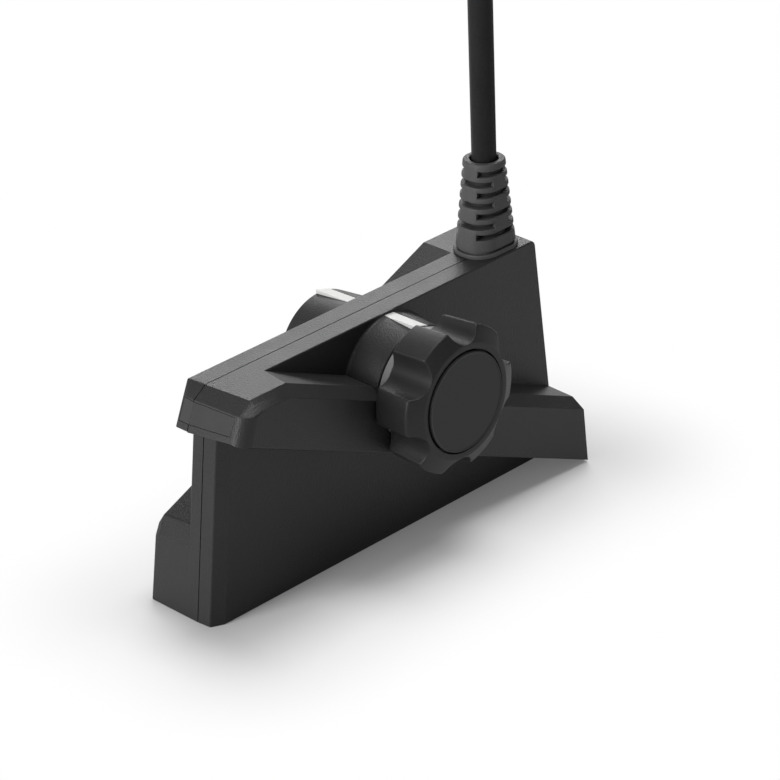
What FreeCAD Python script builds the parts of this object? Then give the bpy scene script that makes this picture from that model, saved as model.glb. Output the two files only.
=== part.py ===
# A sonar transducer: two moulded housing halves with a slanting wing on each side, a hub with a
# clamp knob through the middle, three transducer arrays inside and a cable out of the top.
# Frame: X along the slab, front end at -X, the knob on the -Y side, Z up, origin under the middle.
import FreeCAD, Part
import Sketcher
import math
import os
import re

os.makedirs("parts", exist_ok=True)
doc = FreeCAD.newDocument("SonarTransducer")
Vector = FreeCAD.Vector

# Driving dimensions in millimetres, degrees for angles
SIZES = {
    # slab
    "half_length": 73.5,
    "body_height": 72.4,
    "end_lean": 0.1119,
    "end_sweep": 0.05,
    "half_thickness": 6.7,
    "front_chamfer_depth": 2.1,
    "front_chamfer_run": 4.1,
    "top_corner_round": 2.0,
    "foot_trim": 0.5,
    # near wing and its front flange: each "back" is from the slab's end, each "drop" from its top
    "flange_toe_back": 0.1,
    "flange_toe_drop": 11.8,
    "flange_toe_rise": 0.08,
    "flange_bevel_back": 3.5,
    "flange_bevel_drop": 3.0,
    "flange_top_back": 8.0,
    "flange_notch_back": 25.6,
    "notch_sweep": 0.165,
    "near_shoulder": 16.4,
    "near_wing_face": 20.4,
    "near_block_height": 22.0,
    "flange_corner": 4.4,
    "near_top_drop": 2.5,
    "far_lip_toe_back": 2.0,
    "far_lip_toe_drop": 13.1,
    "far_lip_bevel_back": 5.8,
    "far_lip_bevel_drop": 4.1,
    "far_lip_top_back": 7.5,
    "lip_root_back": 15.5,
    # far wing
    "far_shoulder": 18.0,
    "far_wing_face": 19.8,
    "far_block_height": 21.2,
    "far_block_top_back": 7.0,
    "far_block_top_height": 26.7,
    "far_notch_back": 31.1,
    "far_toe_drop": 13.1,
    "far_top_drop": 2.9,
    "far_corner": 1.0,
    # hub
    "hub_x": 0.8,
    "hub_drop": 19.2,
    "drum_base_radius": 18.4,
    "drum_rim_radius": 17.35,
    "drum_flare": 0.8,
    "rim_bevel": 0.6,
    "near_drum_face": 18.1,
    "far_drum_face": 20.7,
    "recess_gap": 0.3,
    "boss_radius": 9.5,
    "sleeve_radius": 6.0,
    "sleeve_near_end": 16.0,
    "sleeve_far_end": 14.0,
    "ring_pocket_radius": 7.6,
    "index_floor_drop": 3.9,
    "index_top_drop": 0.7,
    "index_left": 0.3,
    "index_base_right": 3.5,
    "index_rim_right": 5.5,
    # clearances
    "fit_gap": 0.05,
    "running_gap": 0.08,
    "turning_gap": 0.3,
    # front inlay
    "inlay_depth": 0.8,
    "inlay_gap": 0.12,
    "inlay_low": 0.24,
    "inlay_high": 0.93,
    "inlay_side_gap": 0.015,
    "inlay_near_end": 15.6,
    "inlay_far_end": 5.6,
    # inside of the halves
    "wall_side": 2.3,
    "wall_end": 3.0,
    "wall_bottom": 2.2,
    "wall_top": 2.6,
    "gasket_width": 0.8,
    "gasket_margin": 1.0,
    "wing_floor": 2.4,
    "cavity_height": 11.1,
    "near_cavity_depth": 17.8,
    "near_cavity_front_back": 15.5,
    "near_cavity_end_back": 5.5,
    "far_cavity_depth": 17.0,
    "far_cavity_front_back": 15.0,
    "far_cavity_end_back": 10.0,
    # arrays
    "array_margin": 0.6,
    "matching_thickness": 1.0,
    "element_height": 3.4,
    "backing_height": 5.8,
    "wing_array_width": 11.0,
    "keel_array_width": 8.4,
    "keel_array_back": 9.5,
    "element_gap": 0.4,
    # electronics
    "board_hub_gap": 3.7,
    "board_back": 13.5,
    "board_height": 30.0,
    "board_drop": 16.4,
    "board_thickness": 1.6,
    "post_radius": 2.0,
    "post_inset": 3.0,
    "chip_side": 15.0,
    "chip_height": 1.5,
    "driver_length": 7.0,
    "driver_width": 4.5,
    "connector_height": 2.2,
    "connector_width": 3.0,
    "flex_thickness": 0.35,
    "flex_width": 11.0,
    "flex_fold": 1.0,
    # knob
    "knob_back": 21.4,
    "knob_back_radius": 21.6,
    "knob_edge": 34.2,
    "knob_edge_radius": 22.4,
    "knob_shoulder": 36.5,
    "knob_shoulder_radius": 17.4,
    "knob_round": 0.9,
    "scallop_circle": 23.5,
    "scallop_radius": 6.1,
    "scallop_angle": 25.0,
    "knob_hollow_inner": 8.6,
    "knob_hollow_outer": 15.2,
    "knob_hollow_depth": 8.0,
    "cap_radius": 15.1,
    "cap_face": 37.0,
    "cap_groove": 0.5,
    "cap_thickness": 2.2,
    "cap_edge": 0.35,
    "bolt_radius": 4.0,
    "bolt_head_flats": 13.0,
    "bolt_head_height": 5.3,
    "bolt_head_seat": 28.2,
    "bolt_reach": 4.8,
    "bolt_thread_radius": 3.8,
    "bolt_tip_bevel": 0.8,
    "bushing_radius": 7.0,
    "bushing_recess": 0.2,
    "washer_radius": 17.1,
    "ring_radius": 6.8,
    "ring_thickness": 1.2,
    "ring_place": 18.3,
    "ring_groove_radius": 3.5,
    "seal_width": 1.3,
    "seal_place": 2.6,
    "seal_groove_depth": 1.15,
    # cable and strain relief
    "cable_back": 21.3,
    "cable_y": 1.4,
    "cable_radius": 3.75,
    "boot_flange_x": 10.0,
    "boot_flange_y": 7.5,
    "boot_flange_corner": 6.6,
    "boot_flange_height": 1.3,
    "boot_neck": 1.0,
    "boot_neck_height": 0.9,
    "boot_base_x": 9.4,
    "boot_base_y": 7.0,
    "boot_base_corner": 6.3,
    "boot_top_half": 5.95,
    "boot_top_corner": 5.2,
    "boot_rise": 28.7,
    "boot_mouth_radius": 4.25,
    "boot_mouth_depth": 3.0,
    "slot_rise": 6.5,
    "slot_pitch": 3.2,
    "slot_height": 1.5,
    "slot_half_angle": 66.0,
    "slot_floor_low": 6.3,
    "slot_floor_high": 4.75,
    "gland_radius": 5.2,
    "gland_height": 5.4,
    "cable_end_drop": 11.4,
    "header_length": 11.0,
    "clamp_length": 15.8,
    "clamp_height": 3.6,
    "clamp_corner": 1.2,
    "clamp_rise": 1.5,
    "screw_radius": 0.9,
    "screw_head_radius": 1.5,
    "screw_head_height": 0.8,
    "wire_radius": 0.6,
    "wire_pitch": 2.0,
    # put-away hank and plug
    "hank_left": 243.0,
    "hank_straight": 58.0,
    "hank_middle": -14.75,
    "hank_outer_radius": 40.25,
    "hank_inner_radius": 17.75,
    "hank_height": 45.0,
    "plug_y": 14.25,
    "plug_back": 280.0,
    "plug_boot_length": 20.0,
    "plug_boot_tip": 4.9,
    "plug_body_radius": 7.6,
    "plug_body_length": 26.0,
    "plug_nose_radius": 6.4,
    "plug_nose_length": 13.0,
    "plug_nose_bore": 5.6,
    "collar_radius": 9.0,
    "collar_length": 11.0,
    "insulator_length": 8.0,
    "pin_radius": 0.5,
    "pin_circle": 3.9,
    "pin_length": 4.0,
}

# Places worked out from the sizes
DERIVED = {
    "flange_toe": "half_length - flange_toe_back",
    "flange_toe_height": "body_height - flange_toe_drop",
    "flange_bevel": "half_length - flange_bevel_back",
    "flange_bevel_height": "body_height - flange_bevel_drop",
    "flange_top": "half_length - flange_top_back",
    "flange_notch": "half_length - flange_notch_back",
    "far_lip_toe": "half_length - far_lip_toe_back",
    "far_lip_toe_height": "body_height - far_lip_toe_drop",
    "far_lip_bevel": "half_length - far_lip_bevel_back",
    "far_lip_bevel_height": "body_height - far_lip_bevel_drop",
    "far_lip_top": "half_length - far_lip_top_back",
    "lip_root": "half_length - lip_root_back",
    "far_block_top": "half_length - far_block_top_back",
    "far_notch": "half_length - far_notch_back",
    "far_toe_height": "body_height - far_toe_drop",
    "hub_height": "body_height - hub_drop",
    "index_floor": "body_height - index_floor_drop",
    "index_top": "body_height - index_top_drop",
    "near_cavity_front": "half_length - near_cavity_front_back",
    "near_cavity_length": "2 * half_length - near_cavity_front_back - near_cavity_end_back",
    "far_cavity_front": "half_length - far_cavity_front_back",
    "far_cavity_length": "2 * half_length - far_cavity_front_back - far_cavity_end_back",
    "keel_array_half": "half_length - keel_array_back",
    "board_left": "hub_x + boss_radius + board_hub_gap",
    "board_right": "half_length - board_back",
    "board_top": "body_height - board_drop",
    "board_bottom": "board_top - board_height",
    "bolt_end": "far_drum_face + bolt_reach",
    "cable_x": "half_length - cable_back",
    "cable_end": "body_height - cable_end_drop",
    "boot_top": "body_height + boot_rise",
    "slot_first": "body_height + slot_rise",
}

SCALLOPS = 6
SLOT_ROWS = 7
WING_ELEMENTS = 23
KEEL_ELEMENTS = 24
WIRES = 4
PIN_COUNT = 7
KNOB_RIBS = 6

# The cord's route from the boot up and over to the hank, chosen by hand
CORD_RUN = [
    (52.2, 1.4, 98.1), (51.4, 1.0, 165.0), (73.0, -9.0, 203.0), (115.0, -29.0, 211.0),
    (150.0, -44.0, 177.0), (162.0, -49.8, 123.0), (168.0, -50.9, 73.0), (186.0, -51.3, 31.0),
    (219.0, -51.1, 8.0), (258.0, -51.25, 3.8),
]
# The cord's end from the top of the hank up to the plug
CORD_TAIL = [(336.3, -22.0, 41.0), (334.0, -4.0, 44.5), (323.0, 8.5, 49.5), (303.0, 14.25, 54.0),
             (280.0, 14.25, 54.0)]

sheet = doc.addObject("Spreadsheet::Sheet", "Sizes")
for row, (alias, number) in enumerate(SIZES.items(), start=1):
    sheet.set("A%d" % row, alias.replace("_", " "))
    sheet.set("B%d" % row, str(number))
    sheet.setAlias("B%d" % row, alias)
doc.recompute()


def bound(text):
    """An expression with each size's name pointed at the sheet and each derived place written out."""
    def qualify(match):
        word = match.group(0)
        if word in DERIVED:
            return "(%s)" % bound(DERIVED[word])
        return "Sizes." + word if word in SIZES else word
    return re.sub(r"[a-z][a-z_]*", qualify, str(text))


def value(text):
    """The number that an expression has now."""
    return float(sheet.evalExpression(bound(text)))


# Construction helpers
def new_body(label):
    """An empty PartDesign body whose label names its file."""
    body = doc.addObject("PartDesign::Body", label + "_body")
    body.Label = label
    return body


def sketch_on(body, plane, name, **offsets):
    """A sketch on one of the body's own origin planes, moved by named offsets."""
    sketch = body.newObject("Sketcher::SketchObject", name)
    origin_plane = [item for item in body.Origin.OriginFeatures if item.Role == plane + "_Plane"][0]
    sketch.AttachmentSupport = [(origin_plane, "")]
    sketch.MapMode = "FlatFace"
    for axis, text in offsets.items():
        sketch.setExpression("AttachmentOffset.Base." + axis, bound(text))
    return sketch


def pin_point(sketch, geometry, place, x, y):
    """Ties one end of a curve to a place given by two expressions."""
    for kind, text in (("DistanceX", x), ("DistanceY", y)):
        constraint = Sketcher.Constraint(kind, -1, 1, geometry, place, value(text))
        number = sketch.addConstraint(constraint)
        sketch.setExpression("Constraints[%d]" % number, bound(text))


def outline(sketch, corners):
    """A closed polygon whose corners are pairs of expressions."""
    first = sketch.GeometryCount
    count = len(corners)
    points = [Vector(value(x), value(y), 0) for x, y in corners]
    for k in range(count):
        sketch.addGeometry(Part.LineSegment(points[k], points[(k + 1) % count]), False)
    for k in range(count):
        following = first + (k + 1) % count
        sketch.addConstraint(Sketcher.Constraint("Coincident", first + k, 2, following, 1))
    for k, (x, y) in enumerate(corners):
        pin_point(sketch, first + k, 1, x, y)
    return sketch


def ring(sketch, x, y, radius):
    """A circle with its centre and radius given by expressions."""
    centre = Vector(value(x), value(y), 0)
    number = sketch.addGeometry(Part.Circle(centre, Vector(0, 0, 1), value(radius)), False)
    pin_point(sketch, number, 3, x, y)
    size = sketch.addConstraint(Sketcher.Constraint("Radius", number, value(radius)))
    sketch.setExpression("Constraints[%d]" % size, bound(radius))
    return sketch


def rounded_box(sketch, x, y, half_x, half_y, corner):
    """A rectangle with arcs at its corners, centred on (x, y)."""
    signs = [(1, 1), (-1, 1), (-1, -1), (1, -1)]
    radius = value(corner)
    arcs = []
    for k, (sx, sy) in enumerate(signs):
        centre_x = "%s + %d * (%s - (%s))" % (x, sx, half_x, corner)
        centre_y = "%s + %d * (%s - (%s))" % (y, sy, half_y, corner)
        circle = Part.Circle(Vector(value(centre_x), value(centre_y), 0), Vector(0, 0, 1), radius)
        start = k * math.pi / 2
        arcs.append(sketch.addGeometry(Part.ArcOfCircle(circle, start, start + math.pi / 2), False))
        for end, (ux, uy) in ((1, (sx * (sx == sy), sy * (sx != sy))),
                              (2, (sx * (sx != sy), sy * (sx == sy)))):
            pin_point(sketch, arcs[k], end,
                      "%s + %d * (%s)" % (centre_x, ux, corner),
                      "%s + %d * (%s)" % (centre_y, uy, corner))
        size = sketch.addConstraint(Sketcher.Constraint("Radius", arcs[k], radius))
        sketch.setExpression("Constraints[%d]" % size, bound(corner))
    for k in range(4):
        here, there = arcs[k], arcs[(k + 1) % 4]
        ends = [sketch.getPoint(here, 2), sketch.getPoint(there, 1)]
        side = sketch.addGeometry(Part.LineSegment(ends[0], ends[1]), False)
        sketch.addConstraint(Sketcher.Constraint("Coincident", here, 2, side, 1))
        sketch.addConstraint(Sketcher.Constraint("Coincident", side, 2, there, 1))
    return sketch


def loft(body, kind, name, sections):
    """A ruled loft through sections that have the same number of corners."""
    feature = body.newObject("PartDesign::" + kind, name)
    feature.Profile = sections[0]
    feature.Sections = sections[1:]
    feature.Ruled = True
    return feature


def extrude(body, kind, name, sketch, length, reverse=False):
    """A pad or pocket whose length is an expression."""
    feature = body.newObject("PartDesign::" + kind, name)
    feature.Profile = sketch
    feature.Length = value(length)
    feature.setExpression("Length", bound(length))
    feature.Reversed = reverse
    return feature


def revolve(body, kind, name, sketch, axis="H_Axis"):
    """A full turn of a sketch about one of its own axes."""
    feature = body.newObject("PartDesign::" + kind, name)
    feature.Profile = sketch
    feature.ReferenceAxis = (sketch, [axis])
    feature.Angle = 360.0
    return feature


def place(item, x="0", y="0", z="0"):
    """Binds an object's place to three expressions."""
    for axis, text in (("x", x), ("y", y), ("z", z)):
        item.setExpression("Placement.Base." + axis, bound(text))


def box(name, size, corner):
    """A box with its size and lowest corner given by expressions."""
    item = doc.addObject("Part::Box", name)
    for prop, text in zip(("Length", "Width", "Height"), size):
        item.setExpression(prop, bound(text))
    place(item, *corner)
    return item


def cylinder(name, radius, length, centre, direction=(0, 0, 1)):
    """A cylinder from a centre point along a fixed direction."""
    item = doc.addObject("Part::Cylinder", name)
    item.Placement = FreeCAD.Placement(Vector(), FreeCAD.Rotation(Vector(0, 0, 1), Vector(*direction)))
    item.setExpression("Radius", bound(radius))
    item.setExpression("Height", bound(length))
    place(item, *centre)
    return item


def cut(name, base, tool):
    """One shape less another."""
    item = doc.addObject("Part::Cut", name)
    item.Base = base
    item.Tool = tool
    return item


def group(label, items):
    """Several like solids kept as one node."""
    item = doc.addObject("Part::Compound", label + "_group")
    item.Links = items
    item.Label = label
    return item


def named(item, label):
    """Gives a finished object the label that names its file."""
    item.Label = label
    return item


PIECES = []

# Outlines shared by the two housing halves
END_AT = "(half_length - end_lean * (%s) - end_sweep * (%s))"


def slab_section(depth):
    """The slab's outline at a distance from the seam: both ends lean in towards the top."""
    base = END_AT % ("-foot_trim", depth)
    top = END_AT % ("body_height", depth)
    return [("-" + base, "-foot_trim"), (base, "-foot_trim"), (top, "body_height"),
            ("-" + top, "body_height")]


def near_wing_section(depth, corner="0", drop="0", foot="0"):
    """The near wing at a distance from the seam: front flange at the top, block at the back foot."""
    back = "end_sweep * %s + %s" % (depth, corner)
    toe_height = "(flange_toe_height + flange_toe_rise * %s - 0.6 * %s)" % (depth, drop)
    face_back = "(flange_toe - flange_bevel) * flange_toe_rise * %s / 9" % depth
    block_drop = "(1.3 * %s)" % drop
    return [
        ("-flange_toe + %s" % back, toe_height),
        ("-flange_bevel + %s - %s" % (back, face_back), "flange_bevel_height - 0.1 * %s" % drop),
        ("-flange_top + end_sweep * %s + 0.3 * %s" % (depth, corner), "body_height - %s" % drop),
        ("-flange_notch - notch_sweep * %s - 0.6 * %s" % (depth, drop), "body_height - %s" % drop),
        (END_AT % ("near_block_height", depth) + " + 0.3 * %s" % drop,
         "near_block_height - 0.02 * %s - %s" % (depth, block_drop)),
        (END_AT % ("0", depth), foot),
    ]


def far_lip_section(share):
    """The front flange where it laps over the far half, between the seam (0) and its end (1)."""
    def between(near, far):
        return "(%s + (%s - %s) * %s)" % (near, far, near, share)
    return [
        ("-" + between("flange_toe", "far_lip_toe"),
         between("flange_toe_height", "far_lip_toe_height")),
        ("-" + between("flange_bevel", "far_lip_bevel"),
         between("flange_bevel_height", "far_lip_bevel_height")),
        ("-" + between("flange_top", "far_lip_top"), "body_height"),
        ("-lip_root", "body_height"),
        ("-lip_root", between("flange_toe_height", "far_lip_toe_height") + " - 1"),
    ]


def far_wing_section(depth, corner="0", drop="0"):
    """The far wing at a distance from the seam: block at the front foot, flush flange at the back."""
    rise = "(body_height - far_block_top_height) / (far_notch + far_block_top)"
    front_top_x = "-far_block_top - %s" % corner
    return [
        ("-" + END_AT % ("0", depth), "0"),
        ("-" + END_AT % ("far_block_height - 0.5 * %s" % drop, depth) + " + 0.4 * %s" % corner,
         "far_block_height - 0.5 * %s" % drop),
        (front_top_x, "far_block_top_height - %s - %s * %s" % (drop, rise, corner)),
        ("far_notch + 0.7 * %s" % corner, "body_height - %s" % drop),
        (END_AT % ("body_height - %s" % drop, depth) + " - 0.3 * %s" % drop,
         "body_height - %s" % drop),
        (END_AT % ("far_toe_height", depth), "far_toe_height"),
    ]


def plane_sections(body, name, outlines, side):
    """Sketches of outlines at distances from the seam, near side +1 or far side -1."""
    sketches = []
    for k, (depth, corners) in enumerate(outlines):
        sketch = sketch_on(body, "XZ", "%s_section_%d" % (name, k), z="%d * (%s)" % (side, depth))
        sketches.append(outline(sketch, corners))
    return sketches


def front_chamfer(body, side):
    """Takes the upright front corner off, leaning with the end face."""
    lip = "%d * half_thickness" % -side
    inner = "%d * (half_thickness - front_chamfer_depth)" % -side
    beyond = "%d * (half_thickness + 1)" % -side
    sections = []
    for k, height in enumerate(("-1", "far_lip_toe_height")):
        sketch = sketch_on(body, "XY", "front_chamfer_%d" % k, z=height)
        end = "-" + END_AT % (height, "half_thickness")
        corners = [("%s - 2" % end, inner), (end, inner), ("%s + front_chamfer_run" % end, lip),
                   ("%s + front_chamfer_run" % end, beyond), ("%s - 2" % end, beyond)]
        sections.append(outline(sketch, corners))
    loft(body, "SubtractiveLoft", "front_corner", sections)


def slab(body, side):
    """The slab's half with its front corner taken off and its underside trimmed flat."""
    loft(body, "AdditiveLoft", "slab", plane_sections(body, "slab", [
        ("0", slab_section("0")), ("half_thickness", slab_section("half_thickness"))], side))
    front_chamfer(body, side)
    sketch = sketch_on(body, "XY", "underside")
    outline(sketch, [("%d * (half_length + 1)" % sx, "%d * (half_thickness + 1)" % sy)
                     for sx, sy in ((-1, -1), (1, -1), (1, 1), (-1, 1))])
    extrude(body, "Pocket", "foot", sketch, "foot_trim + 1")


def round_corner(body, base):
    """Rounds the upper back corner of the slab and of whatever runs flush with it."""
    doc.recompute()
    names = []
    for number, edge in enumerate(base.Shape.Edges, start=1):
        places = [vertex.Point for vertex in edge.Vertexes]
        at_end = min(point.x for point in places) > value(END_AT % ("body_height", "0")) - 1.5
        at_top = min(point.z for point in places) > value("body_height") - 0.01
        if at_end and at_top and abs(places[0].y - places[-1].y) > 1:
            names.append("Edge%d" % number)
    rounded = body.newObject("PartDesign::Fillet", "corner_round")
    rounded.Base = (base, names)
    rounded.Radius = value("top_corner_round")
    rounded.setExpression("Radius", bound("top_corner_round"))
    body.Tip = rounded


def drum(body, side, face):
    """The hub drum: a slight taper, a flare at its root and a small bevel at its rim."""
    s = -side
    sketch = sketch_on(body, "YZ", "drum_profile", y="hub_height", z="hub_x")
    corners = [
        ("%d * (half_thickness - 1)" % s, "0"),
        ("%d * (half_thickness - 1)" % s, "drum_base_radius + drum_flare"),
        ("%d * half_thickness" % s, "drum_base_radius + drum_flare"),
        ("%d * (half_thickness + 0.3 * drum_flare)" % s, "drum_base_radius + 0.3 * drum_flare"),
        ("%d * (half_thickness + drum_flare)" % s, "drum_base_radius"),
        ("%d * (%s - rim_bevel)" % (s, face), "drum_rim_radius"),
        ("%d * %s" % (s, face), "drum_rim_radius - rim_bevel"),
        ("%d * %s" % (s, face), "0"),
    ]
    revolve(body, "Revolution", "drum", outline(sketch, corners))


def bore(body, side, name, radius, start, end):
    """A round hole along the hub's axis between two distances from the seam."""
    sketch = sketch_on(body, "XZ", name + "_circle", z="%d * (%s)" % (side, start))
    ring(sketch, "hub_x", "hub_height", radius)
    extrude(body, "Pocket", name, sketch, "%s - (%s)" % (end, start), reverse=side > 0)


def cavity_outline():
    """The inside of the slab, a wall away from its outline."""
    low = END_AT % ("wall_bottom", "0") + " - wall_end"
    high = END_AT % ("body_height - wall_top", "0") + " - wall_end"
    return [("-(%s)" % low, "wall_bottom"), (low, "wall_bottom"),
            (high, "body_height - wall_top"), ("-(%s)" % high, "body_height - wall_top")]


# Where each wing's array lies: start of its cavity floor, and the floor's angle
NEAR_ANGLE = "atan(flange_toe_height / (half_length + flange_toe))"
NEAR_START = ("(-near_cavity_front)",
              "(flange_toe_height * (half_length + near_cavity_front)"
              " / (half_length + flange_toe) + wing_floor)")
FAR_REACH = "(half_length + %s)" % (END_AT % ("far_toe_height", "0"))
FAR_ANGLE = "(-atan(far_toe_height / %s))" % FAR_REACH
FAR_START = ("(-far_cavity_front)",
             "(far_toe_height * (half_length - far_cavity_front) / %s + wing_floor)" % FAR_REACH)


def along(start, angle, run, rise):
    """The point that lies a run along a sloping floor and a rise square to it."""
    return ("%s + (%s) * cos(%s) + (%s) * sin(%s)" % (start[0], run, angle, rise, angle),
            "%s - (%s) * sin(%s) + (%s) * cos(%s)" % (start[1], run, angle, rise, angle))


def hollow(body, side, start, angle, length, depth):
    """Opens the half from the seam: slab cavity round the hub boss, and the wing's array bay."""
    sketch = outline(sketch_on(body, "XZ", "cavity"), cavity_outline())
    ring(sketch, "hub_x", "hub_height", "boss_radius")
    extrude(body, "Pocket", "slab_cavity", sketch, "half_thickness - wall_side", reverse=side > 0)
    bay = [along(start, angle, run, rise) for run, rise in
           (("0", "0"), (length, "0"), (length, "cavity_height"), ("0", "cavity_height"))]
    sketch = outline(sketch_on(body, "XZ", "array_bay_outline"), bay)
    extrude(body, "Pocket", "array_bay", sketch, depth, reverse=side > 0)


def posts(body, side, corners):
    """Round posts that grip the circuit board from one side."""
    sketch = sketch_on(body, "XZ", "post_circles", z="%d * board_thickness / 2" % side)
    for x, z in corners:
        ring(sketch, x, z, "post_radius")
    length = "half_thickness - wall_side + 0.5 - board_thickness / 2"
    extrude(body, "Pad", "board_posts", sketch, length, reverse=side < 0)


def index_section(depth_share, top):
    """The index line's outline: upright on one side, sloping into the drum on the other."""
    right = "(index_base_right + (index_rim_right - index_base_right) * %s)" % depth_share
    reach = "(drum_base_radius + (drum_rim_radius - drum_base_radius) * %s)" % depth_share
    surface = "hub_height + sqrt(%s^2 - (%s - hub_x)^2)" % (reach, right)
    ceiling = (surface, "index_top") if top is None else (top, top)
    return [("-index_left", "index_floor"), (right, "index_floor"), (right, ceiling[0]),
            ("-index_left", ceiling[1])]


def index_slot(body, side, face):
    """The slot in the drum that the white index line is let into."""
    share = "((%s + 1 - half_thickness) / (%s - half_thickness))" % (face, face)
    sections = plane_sections(body, "index_slot", [
        ("half_thickness", index_section("0", "index_top + 6")),
        (face + " + 1", index_section(share, "index_top + 6"))], side)
    loft(body, "SubtractiveLoft", "index_slot", sections)


def inlay_section(side, depth, front="0", gap="0"):
    """The inlay's outline on the leaning face at a distance from the seam."""
    lip = near_wing_section(depth) if side > 0 else far_lip_section("((%s) / half_thickness)" % depth)
    (toe_x, toe_z), (top_x, top_z) = lip[0], lip[1]
    def on_face(part):
        return ("%s + (%s - (%s)) * (%s)" % (toe_x, top_x, toe_x, part),
                "%s + (%s - (%s)) * (%s)" % (toe_z, top_z, toe_z, part))
    (lx, lz), (hx, hz) = on_face("inlay_low - " + gap), on_face("inlay_high + " + gap)
    return [("%s - %s" % (lx, front), lz), ("%s - %s" % (hx, front), hz),
            ("%s + inlay_depth" % hx, hz), ("%s + inlay_depth" % lx, lz)]


def inlay_seat(body, side, end):
    """The seat in the flange's face that the inlay is let into."""
    loft(body, "SubtractiveLoft", "inlay_seat", plane_sections(body, "inlay_seat", [
        (depth, inlay_section(side, "(%s)" % depth, "1", "inlay_side_gap"))
        for depth in ("-1", end + " + inlay_gap")], side))


def cable_passage(body):
    """The hole for the gland, and room below it for the cable's end and its clamp."""
    sketch = ring(sketch_on(body, "XY", "gland_circle", z="body_height + 1"),
                  "cable_x", "cable_y", "gland_radius + fit_gap")
    extrude(body, "Pocket", "gland_hole", sketch, "body_height + 1 - cable_end + 1")


# Near housing half
def housing_near():
    body = new_body("housing_near")
    slab(body, 1)
    edge = "(near_shoulder + 0.6 * (near_wing_face - near_shoulder))"
    loft(body, "AdditiveLoft", "wing", plane_sections(body, "wing", [
        ("0", near_wing_section("0")),
        ("near_shoulder", near_wing_section("near_shoulder")),
        (edge, near_wing_section(edge, corner="0.2 * flange_corner", foot="0.2")),
        ("near_wing_face", near_wing_section("near_wing_face", corner="flange_corner",
                                             drop="near_top_drop", foot="0.5"))], 1))
    round_corner(body, body.Tip)
    drum(body, 1, "near_drum_face")
    hollow(body, 1, NEAR_START, NEAR_ANGLE, "near_cavity_length", "near_cavity_depth")
    bore(body, 1, "sleeve_bore", "sleeve_radius + fit_gap", "-1", "sleeve_near_end")
    bore(body, 1, "bolt_hole", "bolt_radius + turning_gap", "sleeve_near_end - 1", "near_drum_face + 4")
    bore(body, 1, "face_recess", "drum_rim_radius + recess_gap", "near_drum_face", "near_wing_face + 1")
    posts(body, 1, [("board_right - post_inset", "board_bottom + post_inset"),
                    ("board_right - post_inset", "board_top - post_inset"),
                    ("board_left + post_inset", "board_top - post_inset")])
    index_slot(body, 1, "near_drum_face")
    inlay_seat(body, 1, "inlay_near_end")
    cable_passage(body)
    gasket_groove(body)
    return body


def gasket_frame(inset):
    """The seam outline, drawn in by a distance."""
    low = END_AT % ("0", "0") + " - %s - end_lean * %s" % (inset, inset)
    high = END_AT % ("body_height", "0") + " - %s + end_lean * %s" % (inset, inset)
    return [("-(%s)" % low, inset), (low, inset), (high, "body_height - %s" % inset),
            ("-(%s)" % high, "body_height - %s" % inset)]


def gasket_groove(body):
    """A groove round the seam face for the gasket bead."""
    sketch = outline(sketch_on(body, "XZ", "gasket_path"), gasket_frame("(gasket_margin - fit_gap)"))
    outline(sketch, gasket_frame("(gasket_margin + gasket_width + fit_gap)"))
    extrude(body, "Pocket", "gasket_groove", sketch, "gasket_width", reverse=True)


# Far housing half
def housing_far():
    body = new_body("housing_far")
    slab(body, -1)
    loft(body, "AdditiveLoft", "front_lip", plane_sections(body, "front_lip", [
        ("0", far_lip_section("0")), ("half_thickness", far_lip_section("1"))], -1))
    loft(body, "AdditiveLoft", "wing", plane_sections(body, "wing", [
        ("0", far_wing_section("0")),
        ("far_shoulder", far_wing_section("far_shoulder", corner="far_corner")),
        ("far_wing_face", far_wing_section("far_wing_face", corner="1.6 * far_corner",
                                           drop="far_top_drop"))], -1))
    round_corner(body, body.Tip)
    drum(body, -1, "far_drum_face")
    hollow(body, -1, FAR_START, FAR_ANGLE, "far_cavity_length", "far_cavity_depth")
    bore(body, -1, "sleeve_bore", "sleeve_radius + fit_gap", "-1", "sleeve_far_end")
    bore(body, -1, "ring_pocket", "ring_pocket_radius", "sleeve_far_end", "far_drum_face + 1")
    posts(body, -1, [("board_left + post_inset", "board_bottom + post_inset"),
                     ("board_right - post_inset", "board_bottom + post_inset"),
                     ("board_right - post_inset", "board_top - post_inset")])
    index_slot(body, -1, "far_drum_face")
    inlay_seat(body, -1, "inlay_far_end")
    cable_passage(body)
    return body


PIECES.append(housing_near())
PIECES.append(housing_far())


# Front inlay: a thin plate let into the flange's face, across the seam
def front_inlay():
    body = new_body("front_inlay")
    near = sketch_on(body, "XZ", "near_end", z="inlay_near_end")
    outline(near, inlay_section(1, "inlay_near_end"))
    middle = sketch_on(body, "XZ", "seam", z="0")
    outline(middle, inlay_section(1, "0"))
    far = sketch_on(body, "XZ", "far_end", z="-inlay_far_end")
    outline(far, inlay_section(-1, "inlay_far_end"))
    loft(body, "AdditiveLoft", "plate", [near, middle, far])
    return body


PIECES.append(front_inlay())


# Index lines: white strips let into the drums' tops
def index_line(label, side, face):
    body = new_body(label)
    loft(body, "AdditiveLoft", "strip", plane_sections(body, "strip", [
        ("half_thickness", index_section("0", None)), (face, index_section("1", None))], side))
    return body


PIECES.append(index_line("index_line_near", 1, "near_drum_face"))
PIECES.append(index_line("index_line_far", -1, "far_drum_face"))


# Pieces turned about the hub's axis are drawn about their own Y axis and placed on the hub
def turned(label, corners, kind="Revolution"):
    """A body turned about the hub axis; corners are (distance along -Y, radius)."""
    body = new_body(label)
    sketch = sketch_on(body, "YZ", "profile")
    outline(sketch, [("-(%s)" % y, radius) for y, radius in corners])
    revolve(body, kind, "turned", sketch)
    place(body, "hub_x", "0", "hub_height")
    return body


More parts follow.
